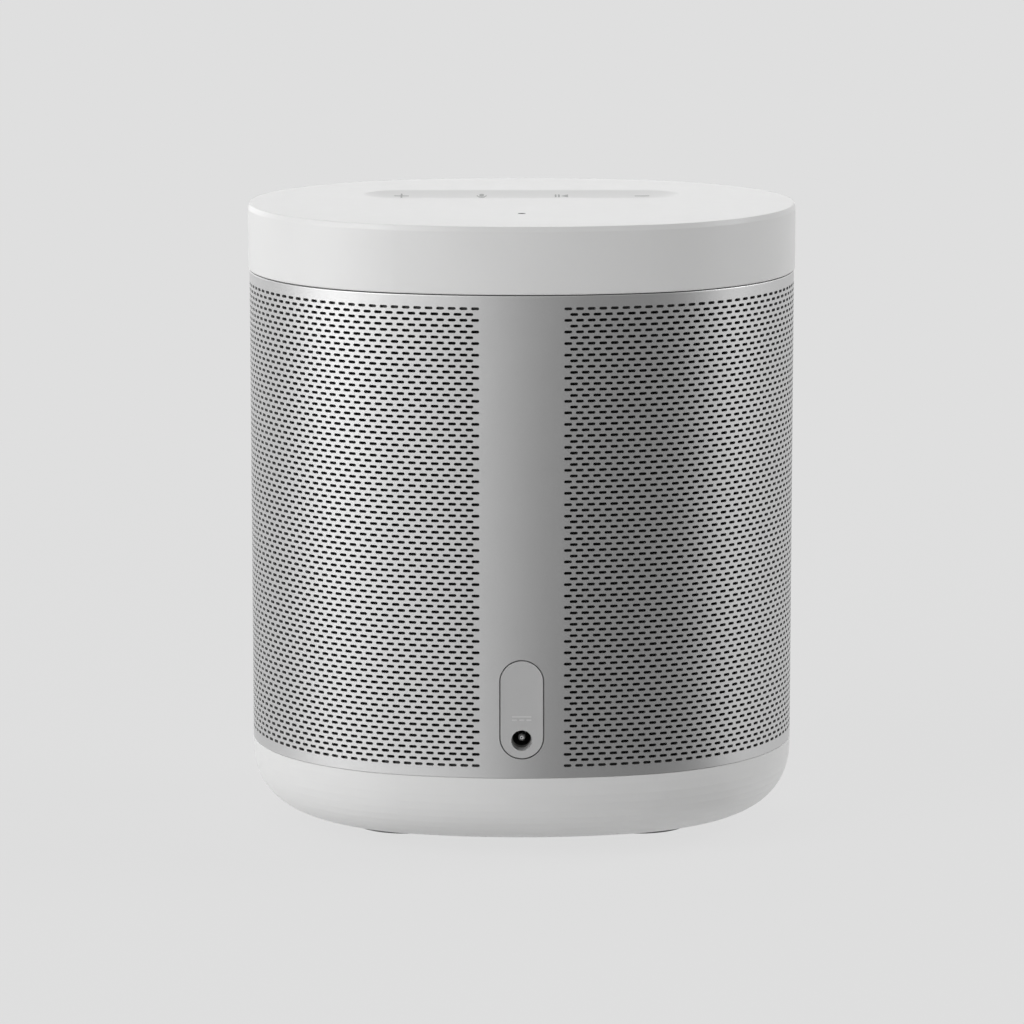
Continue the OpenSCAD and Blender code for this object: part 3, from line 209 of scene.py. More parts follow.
# ----------------------------------------------------------------- materials


class Shader:
    """Builds one procedural material. Places are in metres in the row frame."""

    def __init__(self, name):
        self.mat = bpy.data.materials.new(name)
        self.mat.use_nodes = True
        self.tree = self.mat.node_tree
        self.bsdf = self.tree.nodes["Principled BSDF"]
        self.place = self.node("ShaderNodeTexCoord").outputs["Object"]

    def node(self, kind, **settings):
        n = self.tree.nodes.new(kind)
        for key, value in settings.items():
            setattr(n, key, value)
        return n

    def link(self, a, b):
        self.tree.links.new(a, b)

    def mapped(self, scale):
        m = self.node("ShaderNodeMapping")
        m.inputs["Scale"].default_value = scale
        self.link(self.place, m.inputs["Vector"])
        return m.outputs["Vector"]

    def noise(self, size, detail=2.0, rough=0.5, stretch=(1, 1, 1)):
        """Noise with features about size metres across."""
        n = self.node("ShaderNodeTexNoise")
        n.inputs["Scale"].default_value = 1.0
        n.inputs["Detail"].default_value = detail
        n.inputs["Roughness"].default_value = rough
        self.link(self.mapped([1 / (size * k) for k in stretch]), n.inputs["Vector"])
        return n.outputs["Fac"]

    def cells(self, size, stretch=(1, 1, 1), feature="F1"):
        n = self.node("ShaderNodeTexVoronoi", feature=feature)
        n.inputs["Scale"].default_value = 1.0
        self.link(self.mapped([1 / (size * k) for k in stretch]), n.inputs["Vector"])
        return n.outputs["Distance"]

    def wave(self, size, axis="Z", shape="SIN", kind="BANDS", distort=0.0):
        n = self.node("ShaderNodeTexWave", wave_type=kind, wave_profile=shape)
        if kind == "BANDS":
            n.bands_direction = axis
        else:
            n.rings_direction = axis
        n.inputs["Scale"].default_value = math.pi / 10  # one band per unit
        n.inputs["Distortion"].default_value = distort
        self.link(self.mapped([2 / size] * 3), n.inputs["Vector"])
        return n.outputs["Fac"]

    def math(self, op, a, b=0.0):
        n = self.node("ShaderNodeMath", operation=op)
        for i, v in enumerate((a, b)):
            if isinstance(v, (int, float)):
                n.inputs[i].default_value = v
            else:
                self.link(v, n.inputs[i])
        return n.outputs[0]

    def mean(self, a, b, share):
        """The weighted mean of a and b, with a's share."""
        rest = self.math("MULTIPLY", b, 1 - share)
        return self.math("ADD", self.math("MULTIPLY", a, share), rest)

    def axes(self):
        """The place as separate X, Y and Z."""
        n = self.node("ShaderNodeSeparateXYZ")
        self.link(self.place, n.inputs[0])
        return n.outputs

    def span(self, fac, low, high, a, b):
        """Maps fac from [low, high] to [a, b]."""
        n = self.node("ShaderNodeMapRange")
        for i, v in enumerate((low, high, a, b), 1):
            n.inputs[i].default_value = v
        self.link(fac, n.inputs[0])
        return n.outputs[0]

    def mix(self, fac, a, b):
        n = self.node("ShaderNodeMix", data_type="RGBA")
        for socket, v in ((n.inputs[0], fac), (n.inputs[6], a), (n.inputs[7], b)):
            if isinstance(v, tuple):
                socket.default_value = (*v, 1.0)
            elif isinstance(v, (int, float)):
                socket.default_value = v
            else:
                self.link(v, socket)
        return n.outputs[2]

    def colour(self, fac, a, b):
        self.link(self.mix(fac, a, b), self.bsdf.inputs["Base Color"])

    def rough(self, fac, a, b):
        self.link(self.span(fac, 0.3, 0.7, a, b), self.bsdf.inputs["Roughness"])

    def bump(self, height, depth, strength=1.0, edge=0.0):
        """Raises the surface by depth metres where height is 1, and rounds edges to a radius."""
        n = self.node("ShaderNodeBump")
        n.inputs["Distance"].default_value = depth
        n.inputs["Strength"].default_value = strength
        self.link(height, n.inputs["Height"])
        if edge:
            rounded = self.node("ShaderNodeBevel", samples=6)
            rounded.inputs["Radius"].default_value = edge
            self.link(rounded.outputs["Normal"], n.inputs["Normal"])
        self.link(n.outputs["Normal"], self.bsdf.inputs["Normal"])

    def plain(self, **values):
        for key, value in values.items():
            self.bsdf.inputs[key.replace("_", " ")].default_value = value
        return self


def moulded(name, a, b, rough, grain=0.25 * MM, depth=0.006 * MM, edge=0.0):
    """Moulded plastic: a fine spark-eroded grain and a faint flow of tone."""
    s = Shader(name)
    flow = s.noise(22 * MM, detail=1)
    grains = s.noise(grain, detail=3, rough=0.6)
    s.tint = s.mix(s.mean(flow, grains, 0.6), a, b)
    s.link(s.tint, s.bsdf.inputs["Base Color"])
    s.rough(s.noise(3 * MM, detail=3), rough - 0.03, rough + 0.03)
    s.bump(grains, depth, edge=edge)
    return s


def part_of(s, fac, colour):
    """Gives a moulded shader another colour where fac is 1."""
    s.link(s.mix(fac, s.tint, colour), s.bsdf.inputs["Base Color"])
    return s


def metal(name, a, b, rough, grain, depth, stretch=(1, 1, 1)):
    """Bare metal with a blasted, brushed or drawn grain."""
    s = Shader(name)
    grains = s.noise(grain, detail=4, rough=0.65, stretch=stretch)
    cloud = s.noise(12 * MM, detail=2)
    s.colour(s.mean(grains, cloud, 0.7), a, b)
    s.rough(grains, rough - 0.05, rough + 0.05)
    s.bump(grains, depth)
    s.plain(Metallic=1.0)
    return s


def woven(name, a, b, thread, depth, rough=0.9, sheen=0.2):
    """Plain weave: two crossed sets of threads that go over and under."""
    s = Shader(name)
    warp = s.wave(2 * thread, "DIAGONAL")
    weft = s.wave(2 * thread, "Z")
    fuzz = s.noise(thread / 2, detail=3)
    over = s.math("MULTIPLY", warp, weft)
    s.colour(s.mean(over, fuzz, 0.7), a, b)
    s.rough(fuzz, rough - 0.05, rough + 0.05)
    s.bump(s.math("ADD", over, s.math("MULTIPLY", fuzz, 0.3)), depth)
    s.plain(Sheen_Weight=sheen)
    return s


def grey(v):
    return (v, v, v)


WHITE = ((0.80, 0.80, 0.795), (0.845, 0.845, 0.842), 0.34)
WHITE_EDGE = 0.25 * MM
JACK_Z = 30.4 * MM  # height of the socket's middle
# each finish: two tones and a roughness, then the grain's size and depth where they are its own
PLASTICS = {
    "port_plastic": (grey(0.50), grey(0.54), 0.5),
    "dark_plastic": (grey(0.035), grey(0.05), 0.55),
    "socket_ivory": ((0.70, 0.67, 0.58), (0.76, 0.73, 0.64), 0.45),
    "foot_rubber": (grey(0.26), grey(0.32), 0.8, 0.4 * MM, 0.02 * MM),
    "soft_rubber": (grey(0.02), grey(0.03), 0.7, 0.3 * MM, 0.01 * MM),
    "lead_jacket": (grey(0.02), grey(0.035), 0.5, 0.2 * MM),
    "chip_black": (grey(0.02), grey(0.03), 0.6, 0.12 * MM),
    "ribbon": ((0.62, 0.64, 0.66), (0.72, 0.73, 0.74), 0.4),
    "former_film": ((0.45, 0.22, 0.05), (0.55, 0.28, 0.07), 0.3),
    "terminal_board": ((0.30, 0.16, 0.07), (0.38, 0.21, 0.10), 0.6),
    "icon_grey": (grey(0.42), grey(0.48), 0.5),
    # a lighter grey for the raised sign: painted highlight
    "symbol_grey": (grey(0.62), grey(0.68), 0.4),
}
# the same, then how much the grain is drawn out along X, Y and Z
METALS = {
    "steel": (grey(0.52), grey(0.62), 0.3, 0.3 * MM, 0.003 * MM, (1, 1, 4)),
    "sink_aluminium": (grey(0.66), grey(0.76), 0.35, 0.25 * MM, 0.004 * MM, (1, 8, 1)),
    "contact_gold": ((0.83, 0.60, 0.24), (0.92, 0.69, 0.31), 0.22, 0.2 * MM, 0.002 * MM),
    "pin_chrome": (grey(0.72), grey(0.80), 0.16, 0.2 * MM, 0.001 * MM),
}
# two tones, a thread's width, the weave's depth, then roughness and sheen
CLOTHS = {
    "spider_cloth": ((0.55, 0.40, 0.13), (0.72, 0.55, 0.22), 0.35 * MM, 0.1 * MM),
    "speaker_cloth": (grey(0.006), grey(0.018), 0.22 * MM, 0.06 * MM, 0.95, 0.0),
}


def ferrite():
    s = Shader("ferrite")
    grains = s.noise(0.5 * MM, detail=5, rough=0.7)
    chips = s.cells(1.5 * MM)
    s.colour(s.math("MULTIPLY", grains, chips), grey(0.018), grey(0.07))
    s.rough(grains, 0.5, 0.75)
    s.bump(s.math("ADD", grains, chips), 0.02 * MM)
    return s.mat


def paper_cone():
    s = Shader("paper_cone")
    fibres = s.noise(0.5 * MM, detail=6, rough=0.7)
    ribs = s.wave(3 * MM, "Z", kind="RINGS")
    s.colour(fibres, grey(0.025), grey(0.06))
    s.rough(fibres, 0.8, 0.95)
    s.bump(s.math("ADD", fibres, s.math("MULTIPLY", ribs, 0.5)), 0.05 * MM)
    return s.mat


def copper_wire():
    s = Shader("copper_wire")
    turns = s.wave(0.25 * MM, "Z")
    tint = s.noise(2 * MM, detail=2)
    s.colour(tint, (0.60, 0.22, 0.08), (0.78, 0.34, 0.14))
    s.rough(turns, 0.22, 0.4)
    s.bump(turns, 0.05 * MM)
    s.plain(Metallic=1.0)
    return s.mat


def circuit_board():
    """Green solder mask over straight tracks and the glass weave."""
    s = Shader("circuit_board")
    weave = s.math("MULTIPLY", s.wave(0.8 * MM, "X"), s.wave(0.8 * MM, "Y"))
    tracks = s.node("ShaderNodeTexBrick", offset=0.37, squash=0.6)
    tracks.inputs["Scale"].default_value = 1.0
    tracks.inputs["Mortar Size"].default_value = 0.05
    tracks.inputs["Brick Width"].default_value = 1.6
    tracks.inputs["Row Height"].default_value = 0.4
    s.link(s.mapped([1 / (4 * MM)] * 3), tracks.inputs["Vector"])
    s.colour(tracks.outputs["Fac"], (0.010, 0.085, 0.035), (0.03, 0.16, 0.06))
    s.rough(weave, 0.3, 0.42)
    s.bump(s.mean(tracks.outputs["Fac"], weave, 0.8), 0.02 * MM)
    return s.mat


def satin_sleeve():
    """Blasted and anodised aluminium: a fine even grain, seen as faint specks."""
    s = Shader("sleeve_metal")
    specks = s.noise(0.22 * MM, detail=4, rough=0.7)
    cloud = s.noise(9 * MM, detail=3)
    s.colour(s.mean(specks, cloud, 0.8), grey(0.54), grey(0.67))
    s.rough(specks, 0.40, 0.50)
    s.bump(specks, 0.012 * MM)
    s.plain(Metallic=1.0)
    return s.mat


def white_with_painted_shade(name, side, z):
    """White plastic with painted shade: near black where it stands behind the slots, on one side of
    a height.
    """
    s = moulded(name, *WHITE, edge=WHITE_EDGE)
    # painted shade: near black where the part is behind the sleeve
    return part_of(s, s.math(side, s.axes()["Z"], z), grey(0.012)).mat


def pin_with_painted_shade(name):
    """Plated pin with painted shade in the middle of its end: a dark disc stands for the shade in a
    hollow, which the pin's shape does not have.
    """
    shade_r, end_depth = 0.16 * MM, 0.02 * MM
    s = metal(name, grey(0.84), grey(0.90), 0.42, 0.2 * MM, 0.001 * MM)
    place = s.axes()
    up = s.math("SUBTRACT", place["Z"], JACK_Z)
    off = s.math("SQRT", s.math("ADD", s.math("MULTIPLY", place["X"], place["X"]),
                                s.math("MULTIPLY", up, up)))
    inside = s.math("LESS_THAN", off, shade_r)
    face = s.math("LESS_THAN", place["Y"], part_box("jack_pin")[0].y + end_depth)
    old = s.bsdf.inputs["Base Color"].links[0].from_socket
    # painted shade: near black on a small disc at the pin's end
    s.link(s.mix(s.math("MULTIPLY", inside, face), old, grey(0.03)), s.bsdf.inputs["Base Color"])
    return s.mat


def jack_with_painted_light():
    """The jack's black plastic, with painted light: a grey band at its mouth stands for the light
    on the mouth's wall.
    """
    lit_mouth_depth = 2.4 * MM
    s = moulded("jack_black_painted_light", grey(0.02), grey(0.03), 0.5)
    lit_mouth = s.math("LESS_THAN", s.axes()["Y"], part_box("dc_jack")[0].y + lit_mouth_depth)
    # painted light: grey near the jack's mouth
    return part_of(s, lit_mouth, grey(0.36)).mat


MATS = {
    "white_shell": moulded("white_shell", *WHITE, edge=WHITE_EDGE).mat,
    "ferrite": ferrite(),
    "paper_cone": paper_cone(),
    "copper_wire": copper_wire(),
    "circuit_board": circuit_board(),
    "sleeve_metal": satin_sleeve(),
}
for make, table in ((moulded, PLASTICS), (metal, METALS), (woven, CLOTHS)):
    for name, values in table.items():
        MATS[name] = make(name, *values).mat

SHADE_BEHIND = 0.02 * MM  # how far inside the sleeve's height the painted shade starts
OWN_FINISH = {
    # white shell and frame, with painted shade where they stand behind the sleeve
    "base_shell": white_with_painted_shade("base_white_painted_shade", "GREATER_THAN", sleeve_low.z + SHADE_BEHIND),
    "cap_frame": white_with_painted_shade("frame_white_painted_shade", "LESS_THAN", sleeve_high.z - SHADE_BEHIND),
    "jack_pin": pin_with_painted_shade("pin_with_painted_shade"),
    "dc_jack": jack_with_painted_light(),
}
SLOT_OF = {r["node"]: r.get("material_slot") for r in frame["record"]["subparts"]}
for name, ob in NODES.items():
    finish = OWN_FINISH.get(name) or MATS[SLOT_OF[name]]
    ob.data.materials.clear()
    ob.data.materials.append(finish)

# -------------------------------------------------------------------- grille
# The sheet is laid out flat as (arc length, height), slot by slot, and bent
# round the outline. Rows are staggered by half a pitch.

ROWS = 81
LONG_ROW = 131
FIRST_SLOT = 10.755 * MM
LOW_ROW, HIGH_ROW = 24.3 * MM, 132.0 * MM
SLOT_L, SLOT_H = 1.90 * MM, 0.68 * MM
SHEET_T = 0.8 * MM
EDGE_BEVEL = 0.12 * MM
ROW_PITCH = (HIGH_ROW - LOW_ROW) / (ROWS - 1)
SLOT_PITCH = (LOOP - 2 * FIRST_SLOT) / (LONG_ROW - 1)
HALF_PITCH = SLOT_PITCH / 2
FIRST_COLUMN = FIRST_SLOT - HALF_PITCH
COLUMNS = 2 * LONG_ROW + 1
LINES = LOW_ROW - ROW_PITCH / 2 + ROW_PITCH * np.arange(ROWS + 1)
PORT_W, PORT_H, PORT_Z, PORT_GAP = 9.9 * MM, 23.1 * MM, 26.2 * MM, 0.3 * MM
BAND_STEPS = 14  # columns of the plain band's grid
RIM_CLEAR = 0.35 * MM  # the grid keeps this far off the port's opening
# heights across each hem: the bevelled edge, two lines that hold the bevel, the slots' cells
STEPS = EDGE_BEVEL * np.array([0, 1, 2])
LOW_HEM = [*(sleeve_low.z + STEPS), (sleeve_low.z + LINES[0]) / 2, LINES[0]]
HIGH_HEM = [LINES[-1], (sleeve_high.z + LINES[-1]) / 2, *(sleeve_high.z - STEPS[::-1])]


def column(m):
    return FIRST_COLUMN + HALF_PITCH * np.asarray(m)


def slot_cell():
    """One slot's cell as 16 points round its centre and 16 triangles."""
    w, h = HALF_PITCH, ROW_PITCH / 2
    r, c = SLOT_H / 2, (SLOT_L - SLOT_H) / 2
    frame_points = [(-w, -h), (0, -h), (w, -h), (w, h), (0, h), (-w, h)]
    right = [(c + r * math.cos(a), r * math.sin(a)) for a in np.radians([-90, -45, 0, 45, 90])]
    left = [(-x, y) for x, y in reversed(right)]
    bl, bm, br, tr, tm, tl = range(6)
    r0, r1, r2, r3, r4, l0, l1, l2, l3, l4 = range(6, 16)
    tris = [(bm, r0, l4), (bm, br, r0), (br, r1, r0), (br, r2, r1), (br, tr, r2), (tr, r3, r2),
            (tr, r4, r3), (tr, tm, r4), (tm, l0, r4), (tm, tl, l0), (tl, l1, l0), (tl, l2, l1),
            (tl, bl, l2), (bl, l3, l2), (bl, l4, l3), (bl, bm, l4)]
    return np.array(frame_points + right + left), np.array(tris)


def quads(s_list, z_list):
    """Points and triangles of a plain grid."""
    s, z = np.meshgrid(s_list, z_list)
    w = len(s_list)
    i = (np.arange(len(z_list) - 1)[:, None] * w + np.arange(w - 1)[None]).ravel()
    tris = np.concatenate([np.stack([i, i + 1, i + w + 1], 1), np.stack([i, i + w + 1, i + w], 1)])
    return np.stack([s.ravel(), z.ravel()], 1), tris


def slots_between(first, last):
    """Cells of the slots from column first up to last, in every row."""
    cell, tris = slot_cell()
    centres = []
    for row in range(ROWS):
        count = min(last, LONG_ROW - row % 2)
        s = FIRST_SLOT + HALF_PITCH * (row % 2) + SLOT_PITCH * np.arange(first, count)
        centres.append(np.stack([s, np.full(len(s), LOW_ROW + row * ROW_PITCH)], 1))
    centres = np.concatenate(centres)
    points = (centres[:, None] + cell[None]).reshape(-1, 2)
    all_tris = (np.arange(len(centres))[:, None, None] * len(cell) + tris[None]).reshape(-1, 3)
    return points, all_tris


def hems(first, last):
    """Plain metal above the top row and below the bottom row, over some columns."""
    s = column(np.arange(first, last + 1))
    return [quads(s, LOW_HEM), quads(s, HIGH_HEM)]


def port_loop():
    """The opening round the port plate, as points of an obround."""
    half, low, high = PORT_W / 2 + PORT_GAP, PORT_Z - PORT_GAP, PORT_Z + PORT_H + PORT_GAP
    angles = np.radians(np.linspace(0, 180, 25))
    top = [(half * math.cos(a), high - half + half * math.sin(a)) for a in angles]
    return top + [(-x, low + high - z) for x, z in top]


def rear_band():
    """The plain band between the last slots and the first, with the port's opening."""
    s = np.linspace(-FIRST_COLUMN, FIRST_COLUMN, BAND_STEPS + 1)
    z = np.concatenate([LOW_HEM[:-1], LINES, HIGH_HEM[1:]])
    grid, _ = quads(s, z)
    hole = np.array(port_loop())
    arc = np.arcsin(hole[:, 0] / FACE_R) * FACE_R
    hole = np.stack([arc, hole[:, 1]], 1)
    centre = np.array([0.0, hole[:, 1].mean()])
    radius = hole[:, 0].max()
    straight = (hole[:, 1].max() - hole[:, 1].min()) / 2 - radius

    def distance(places):
        """How far places lie from the middle line of the opening."""
        across, along = (places - centre).T
        return np.hypot(across, np.maximum(np.abs(along) - straight, 0))

    outside = distance(grid) > radius + RIM_CLEAR
    points = np.concatenate([grid[outside], hole])
    start = int(outside.sum())
    ring = [(start + i, start + (i + 1) % len(hole)) for i in range(len(hole))]
    verts, _, faces, *_ = geometry.delaunay_2d_cdt(
        [Vector(p / MM) for p in points], ring, [], 0, 1e-7)
    verts = np.array([tuple(v) for v in verts]) * MM
    faces = np.array([tuple(f) for f in faces])
    kept = faces[distance(verts[faces].mean(1)) > radius * 0.999]
    turn = np.cross(verts[kept[:, 1]] - verts[kept[:, 0]], verts[kept[:, 2]] - verts[kept[:, 0]])
    kept[turn < 0] = kept[turn < 0][:, ::-1]
    # triangles without an area are left out
    return verts, kept[np.abs(turn) > 1e-14]


def fillers():
    """Plain half cells at both ends of the short rows."""
    parts = []
    for row in range(1, ROWS, 2):
        for m in (0, COLUMNS - 2):
            parts.append(quads(column([m, m + 1]), LINES[[row, row + 1]]))
    return parts


def joined(parts):
    points, tris, base = [], [], 0
    for p, t in parts:
        points.append(p)
        tris.append(t + base)
        base += len(p)
    return np.concatenate(points), np.concatenate(tris)


def edge_bevel(flat):
    """How far the sheet's outer face draws in at its cut edges."""
    gap = np.minimum(flat[:, 1] - sleeve_low.z, sleeve_high.z - flat[:, 1])
    return np.where(gap < EDGE_BEVEL / 2, EDGE_BEVEL, 0.0)


def build_grille():
    first, second, third, last = 16, 49, 82, 115  # the slots at which the sheet is cut
    cuts = {"right": (first, second), "front": (second, third), "left": (third, last)}
    pieces = {k: [slots_between(a, b), *hems(2 * a, 2 * b)] for k, (a, b) in cuts.items()}
    pieces["rear"] = [
        slots_between(0, first), slots_between(last, LONG_ROW), rear_band(), *fillers(),
        *hems(0, 2 * first), *hems(2 * last, COLUMNS - 1)]
    for key, parts in pieces.items():
        points, tris = joined(parts)
        ob = sheet_mesh(f"grille_{key}", points, tris, SHEET_T, material=MATS["sleeve_metal"],
                        bevel=edge_bevel)
        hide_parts("grille_sleeve")


build_grille()

# --------------------------------------------------------------------- cloth


def build_cloth():
    """The black acoustic cloth, stretched round just inside the sleeve."""
    inset, thickness, rows, columns = 1.05 * MM, 0.3 * MM, 54, 300
    lo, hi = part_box("acoustic_cloth")
    z = np.linspace(lo.z, hi.z, rows)
    # a notch round the port, twice the plate's width and 3 mm higher
    low_s = math.asin(PORT_W / FACE_R) * FACE_R
    notch_top = PORT_Z + PORT_H + 3 * MM
    s = np.concatenate([[0], np.linspace(low_s, LOOP - low_s, columns), [LOOP]])
    flat, tris = quads(s, z)
    mid = flat[tris].mean(1)
    wrapped = np.minimum(mid[:, 0], LOOP - mid[:, 0])
    tris = tris[~((wrapped < low_s) & (mid[:, 1] < notch_top))]
    used, tris = np.unique(tris, return_inverse=True)
    flat = flat[used]
    ob = sheet_mesh("speaker_cloth", flat, tris.reshape(-1, 3), inset + thickness,
                    material=MATS["speaker_cloth"], bevel=lambda f: np.full(len(f), inset))
    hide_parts("acoustic_cloth")


build_cloth()

# ---------------------------------------------------- symbols and touch icons


def prism(loops, top, bottom, name, material, body="casing"):
    """Closed prisms over flat outlines. top and bottom give the place of (u, v)."""
    points, faces = [], []
    for loop in loops:
        n, base = len(loop), len(points)
        points += [bottom(u, v) for u, v in loop] + [top(u, v) for u, v in loop]
        faces.append([base + n + i for i in range(n)])
        faces.append([base + n - 1 - i for i in range(n)])
        faces += [[base + i, base + j, base + n + j, base + n + i]
                  for i, j in ((i, (i + 1) % n) for i in range(n))]
    return new_object(name, points, faces, body, material, smooth=False)


def bar(x0, y0, x1, y1, width):
    """A stroke with round ends, counter-clockwise."""
    a, b = np.array([x0, y0]), np.array([x1, y1])
    turn = math.atan2(*(b - a)[::-1])
    half = width / 2
    ends = []
    for centre, start in ((b, turn - math.pi / 2), (a, turn + math.pi / 2)):
        ends += [tuple(centre + half * np.array([math.cos(start + t), math.sin(start + t)]))
                 for t in np.linspace(0, math.pi, 9)]
    return ends


def build_port_symbol():
    """The sign for direct current, raised on the port plate: a line over three dashes, in a lighter
    grey that is a painted highlight.
    """
    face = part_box("port_plate")[0].y
    z, w, thick, drop, gap = 36.1 * MM, 4.6 * MM, 0.38 * MM, 0.80 * MM, 0.45 * MM
    proud, sunk = 0.12 * MM, 0.2 * MM
    half = (w - thick) / 2
    dash = (w - 2 * gap) / 3
    loops = [bar(-half, z, half, z, thick)]
    for i in (-1, 0, 1):
        mid = i * (dash + gap)
        reach = (dash - thick) / 2
        loops.append(bar(mid - reach, z - drop, mid + reach, z - drop, thick))
    ob = prism(loops, lambda x, v: (x, face - proud, v), lambda x, v: (x, face + sunk, v),
               "dc_symbol", MATS["symbol_grey"])


build_port_symbol()


def drop_on(name, x, y):
    """Height of a node's upper surface at (x, y)."""
    above = 1.0
    hit, place, *_ = NODES[name].ray_cast(Vector((x, y, above)), Vector((0, 0, -1)))
    return place.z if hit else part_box(name)[1].z


def arc_strokes(x, y, radius, first, last, width, count=6):
    """An arc as short overlapping strokes."""
    a = np.radians(np.linspace(first, last, count + 1))
    spots = [(x + radius * math.cos(t), y + radius * math.sin(t)) for t in a]
    return [bar(*p, *q, width) for p, q in zip(spots, spots[1:])]


def build_touch_icons():
    """Printed signs over the four touch keys. Their tops point to the front, +Y."""
    pitch, y, reach = 19.5 * MM, 20.0 * MM, 1.6 * MM
    line, fine = 0.42 * MM, 0.3 * MM
    proud, sunk = 0.03 * MM, 0.1 * MM
    signs = {"minus": (1.5, [(-1, 0, 1, 0)]), "plus": (-1.5, [(-1, 0, 1, 0), (0, -1, 0, 1)])}
    loops = {}
    for name, (place, strokes) in signs.items():
        x = place * pitch
        loops[name] = [bar(x + a * reach, y + b * reach, x + c * reach, y + d * reach, line)
                       for a, b, c, d in strokes]
    # a microphone: capsule, cradle and stand
    x = -0.5 * pitch
    loops["microphone"] = [
        bar(x, y + 0.2 * MM, x, y + 1.1 * MM, 1.1 * MM),
        *arc_strokes(x, y + 0.2 * MM, 1.1 * MM, 180, 360, fine),
        bar(x, y - 0.9 * MM, x, y - 1.5 * MM, fine),
        bar(x - 0.6 * MM, y - 1.55 * MM, x + 0.6 * MM, y - 1.55 * MM, fine)]
    # play and pause, read from the front with +X on the left
    x = 0.5 * pitch
    loops["play_pause"] = [
        [(x + 1.5 * MM, y - 1.2 * MM), (x + 1.5 * MM, y + 1.2 * MM), (x - 0.1 * MM, y)][::-1],
        bar(x - 0.7 * MM, y - 1.0 * MM, x - 0.7 * MM, y + 1.0 * MM, line),
        bar(x - 1.5 * MM, y - 1.0 * MM, x - 1.5 * MM, y + 1.0 * MM, line)]
    for name, shape in loops.items():
        ob = prism(shape, lambda u, v: (u, v, drop_on("top_cap", u, v) + proud),
                   lambda u, v: (u, v, drop_on("top_cap", u, v) - sunk),
                   f"icon_{name}", MATS["icon_grey"])


build_touch_icons()

# ------------------------------------------------------------- turned pieces

ON_AXIS = 1e-7  # a smaller radius is a single point on the axis
SHARP_DEGREES = 40
FINE_STEPS = 160  # round the two pieces that flex


def lathe(name, profile, material, body="casing", steps=128, centre=(0, 0)):
    """A closed piece of revolution. profile runs counter-clockwise in (radius, height)."""
    points, rings = [], []
    for r, z in profile:
        if r < ON_AXIS:
            rings.append([len(points)] * steps)
            points.append((centre[0], centre[1], z))
            continue
        rings.append(list(range(len(points), len(points) + steps)))
        points += [(centre[0] + r * math.cos(a), centre[1] + r * math.sin(a), z)
                   for a in np.linspace(0, 2 * math.pi, steps, endpoint=False)]
    faces = []
    for low, high in zip(rings, rings[1:] + rings[:1]):
        for i in range(steps):
            j = (i + 1) % steps
            face = list(dict.fromkeys([low[i], low[j], high[j], high[i]]))
            if len(face) > 2:
                faces.append(face)
    ob = new_object(name, points, faces, body=body, material=material)
    sharpen(ob, SHARP_DEGREES)
    return ob


def strip(line, thickness):
    """The closed outline of a skin of even thickness on a middle line."""
    line = np.array(line)
    d = np.gradient(line, axis=0)
    side = np.stack([d[:, 1], -d[:, 0]], 1) / np.linalg.norm(d, axis=1)[:, None] * thickness / 2
    return [tuple(p) for p in np.concatenate([line + side, (line - side)[::-1]])]


def eased(line, rounds=3):
    """Cuts a line's corners, its ends kept."""
    line = np.array(line)
    for _ in range(rounds):
        a, b = line[:-1], line[1:]
        cut = np.stack([0.75 * a + 0.25 * b, 0.25 * a + 0.75 * b], 1).reshape(-1, 2)
        line = np.concatenate([line[:1], cut[1:-1], line[-1:]])
    return line


def flexes(ob, node, inner, outer):
    """Works out for each point a share that is 0 outside radius outer and 1 inside radius inner,
    but nothing uses it, so the piece does not bend with the cone. Bakes the piece's place into its
    mesh and hides the node.
    """
    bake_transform(ob)
    t = np.array([(outer - math.hypot(v.co.x, v.co.y)) / (outer - inner) for v in ob.data.vertices])
    t = np.clip(t, 0, 1)
    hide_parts(node)


def build_surround():
    """The rubber roll between the cone's edge and the basket."""
    lo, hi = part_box("surround")
    cone_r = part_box("cone")[1].x
    skin = 0.5 * MM
    middle = cone_r + 1.8 * MM  # radius of the roll's crest
    radius = hi.z - lo.z - skin / 2
    level = hi.z - skin / 2
    a = np.radians(np.linspace(180, 360, 33))
    roll = np.stack([middle + radius * np.cos(a), level + radius * np.sin(a)], 1)
    line = np.concatenate([[[cone_r - 1.0 * MM, level], [cone_r - 0.6 * MM, level]], roll,
                           [[hi.x - 0.8 * MM, level], [hi.x, level]]])
    ob = lathe("surround_roll", strip(eased(line), skin), MATS["soft_rubber"],
               body=None, steps=FINE_STEPS)
    flexes(ob, "surround", middle - radius, middle + radius)


def build_spider():
    """The corrugated cloth disc that centres the coil."""
    lo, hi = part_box("spider")
    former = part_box("coil_former")[1].x
    skin, waves, wave, flat = 0.36 * MM, 3, 0.8 * MM, 0.16
    inner, outer = former + 0.05 * MM, hi.x
    under = (lo.z + hi.z) / 2
    u = np.linspace(0, 1, 97)
    v = np.minimum(u / (1 - flat), 1)
    line = np.stack([inner + (outer - inner) * u,
                     under + wave * np.sin(2 * math.pi * waves * v) * np.sin(math.pi * v)], 1)
    ob = lathe("spider_disc", strip(line, skin), MATS["spider_cloth"],
               body=None, steps=FINE_STEPS)
    flexes(ob, "spider", inner, outer - flat * (outer - inner))


def build_mic_hole_shade():
    """A dark cloth disc just under the mouth of the microphone hole: painted shade that darkens the
    hole.
    """
    r, t, sunk, droop, mic_y = 1.0 * MM, 0.15 * MM, 0.02 * MM, 0.03 * MM, -24.8 * MM
    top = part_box("top_cap")[1].z - sunk
    profile = [(0, top - t), (r, top - t), (r, top - droop), (0.8 * r, top), (0, top)]
    # painted shade in the microphone hole
    lathe("mic_hole_shade", profile, MATS["speaker_cloth"], steps=48, centre=(0, mic_y))


build_surround()
build_spider()
build_mic_hole_shade()

# --------------------------------------------------------------- stage, light

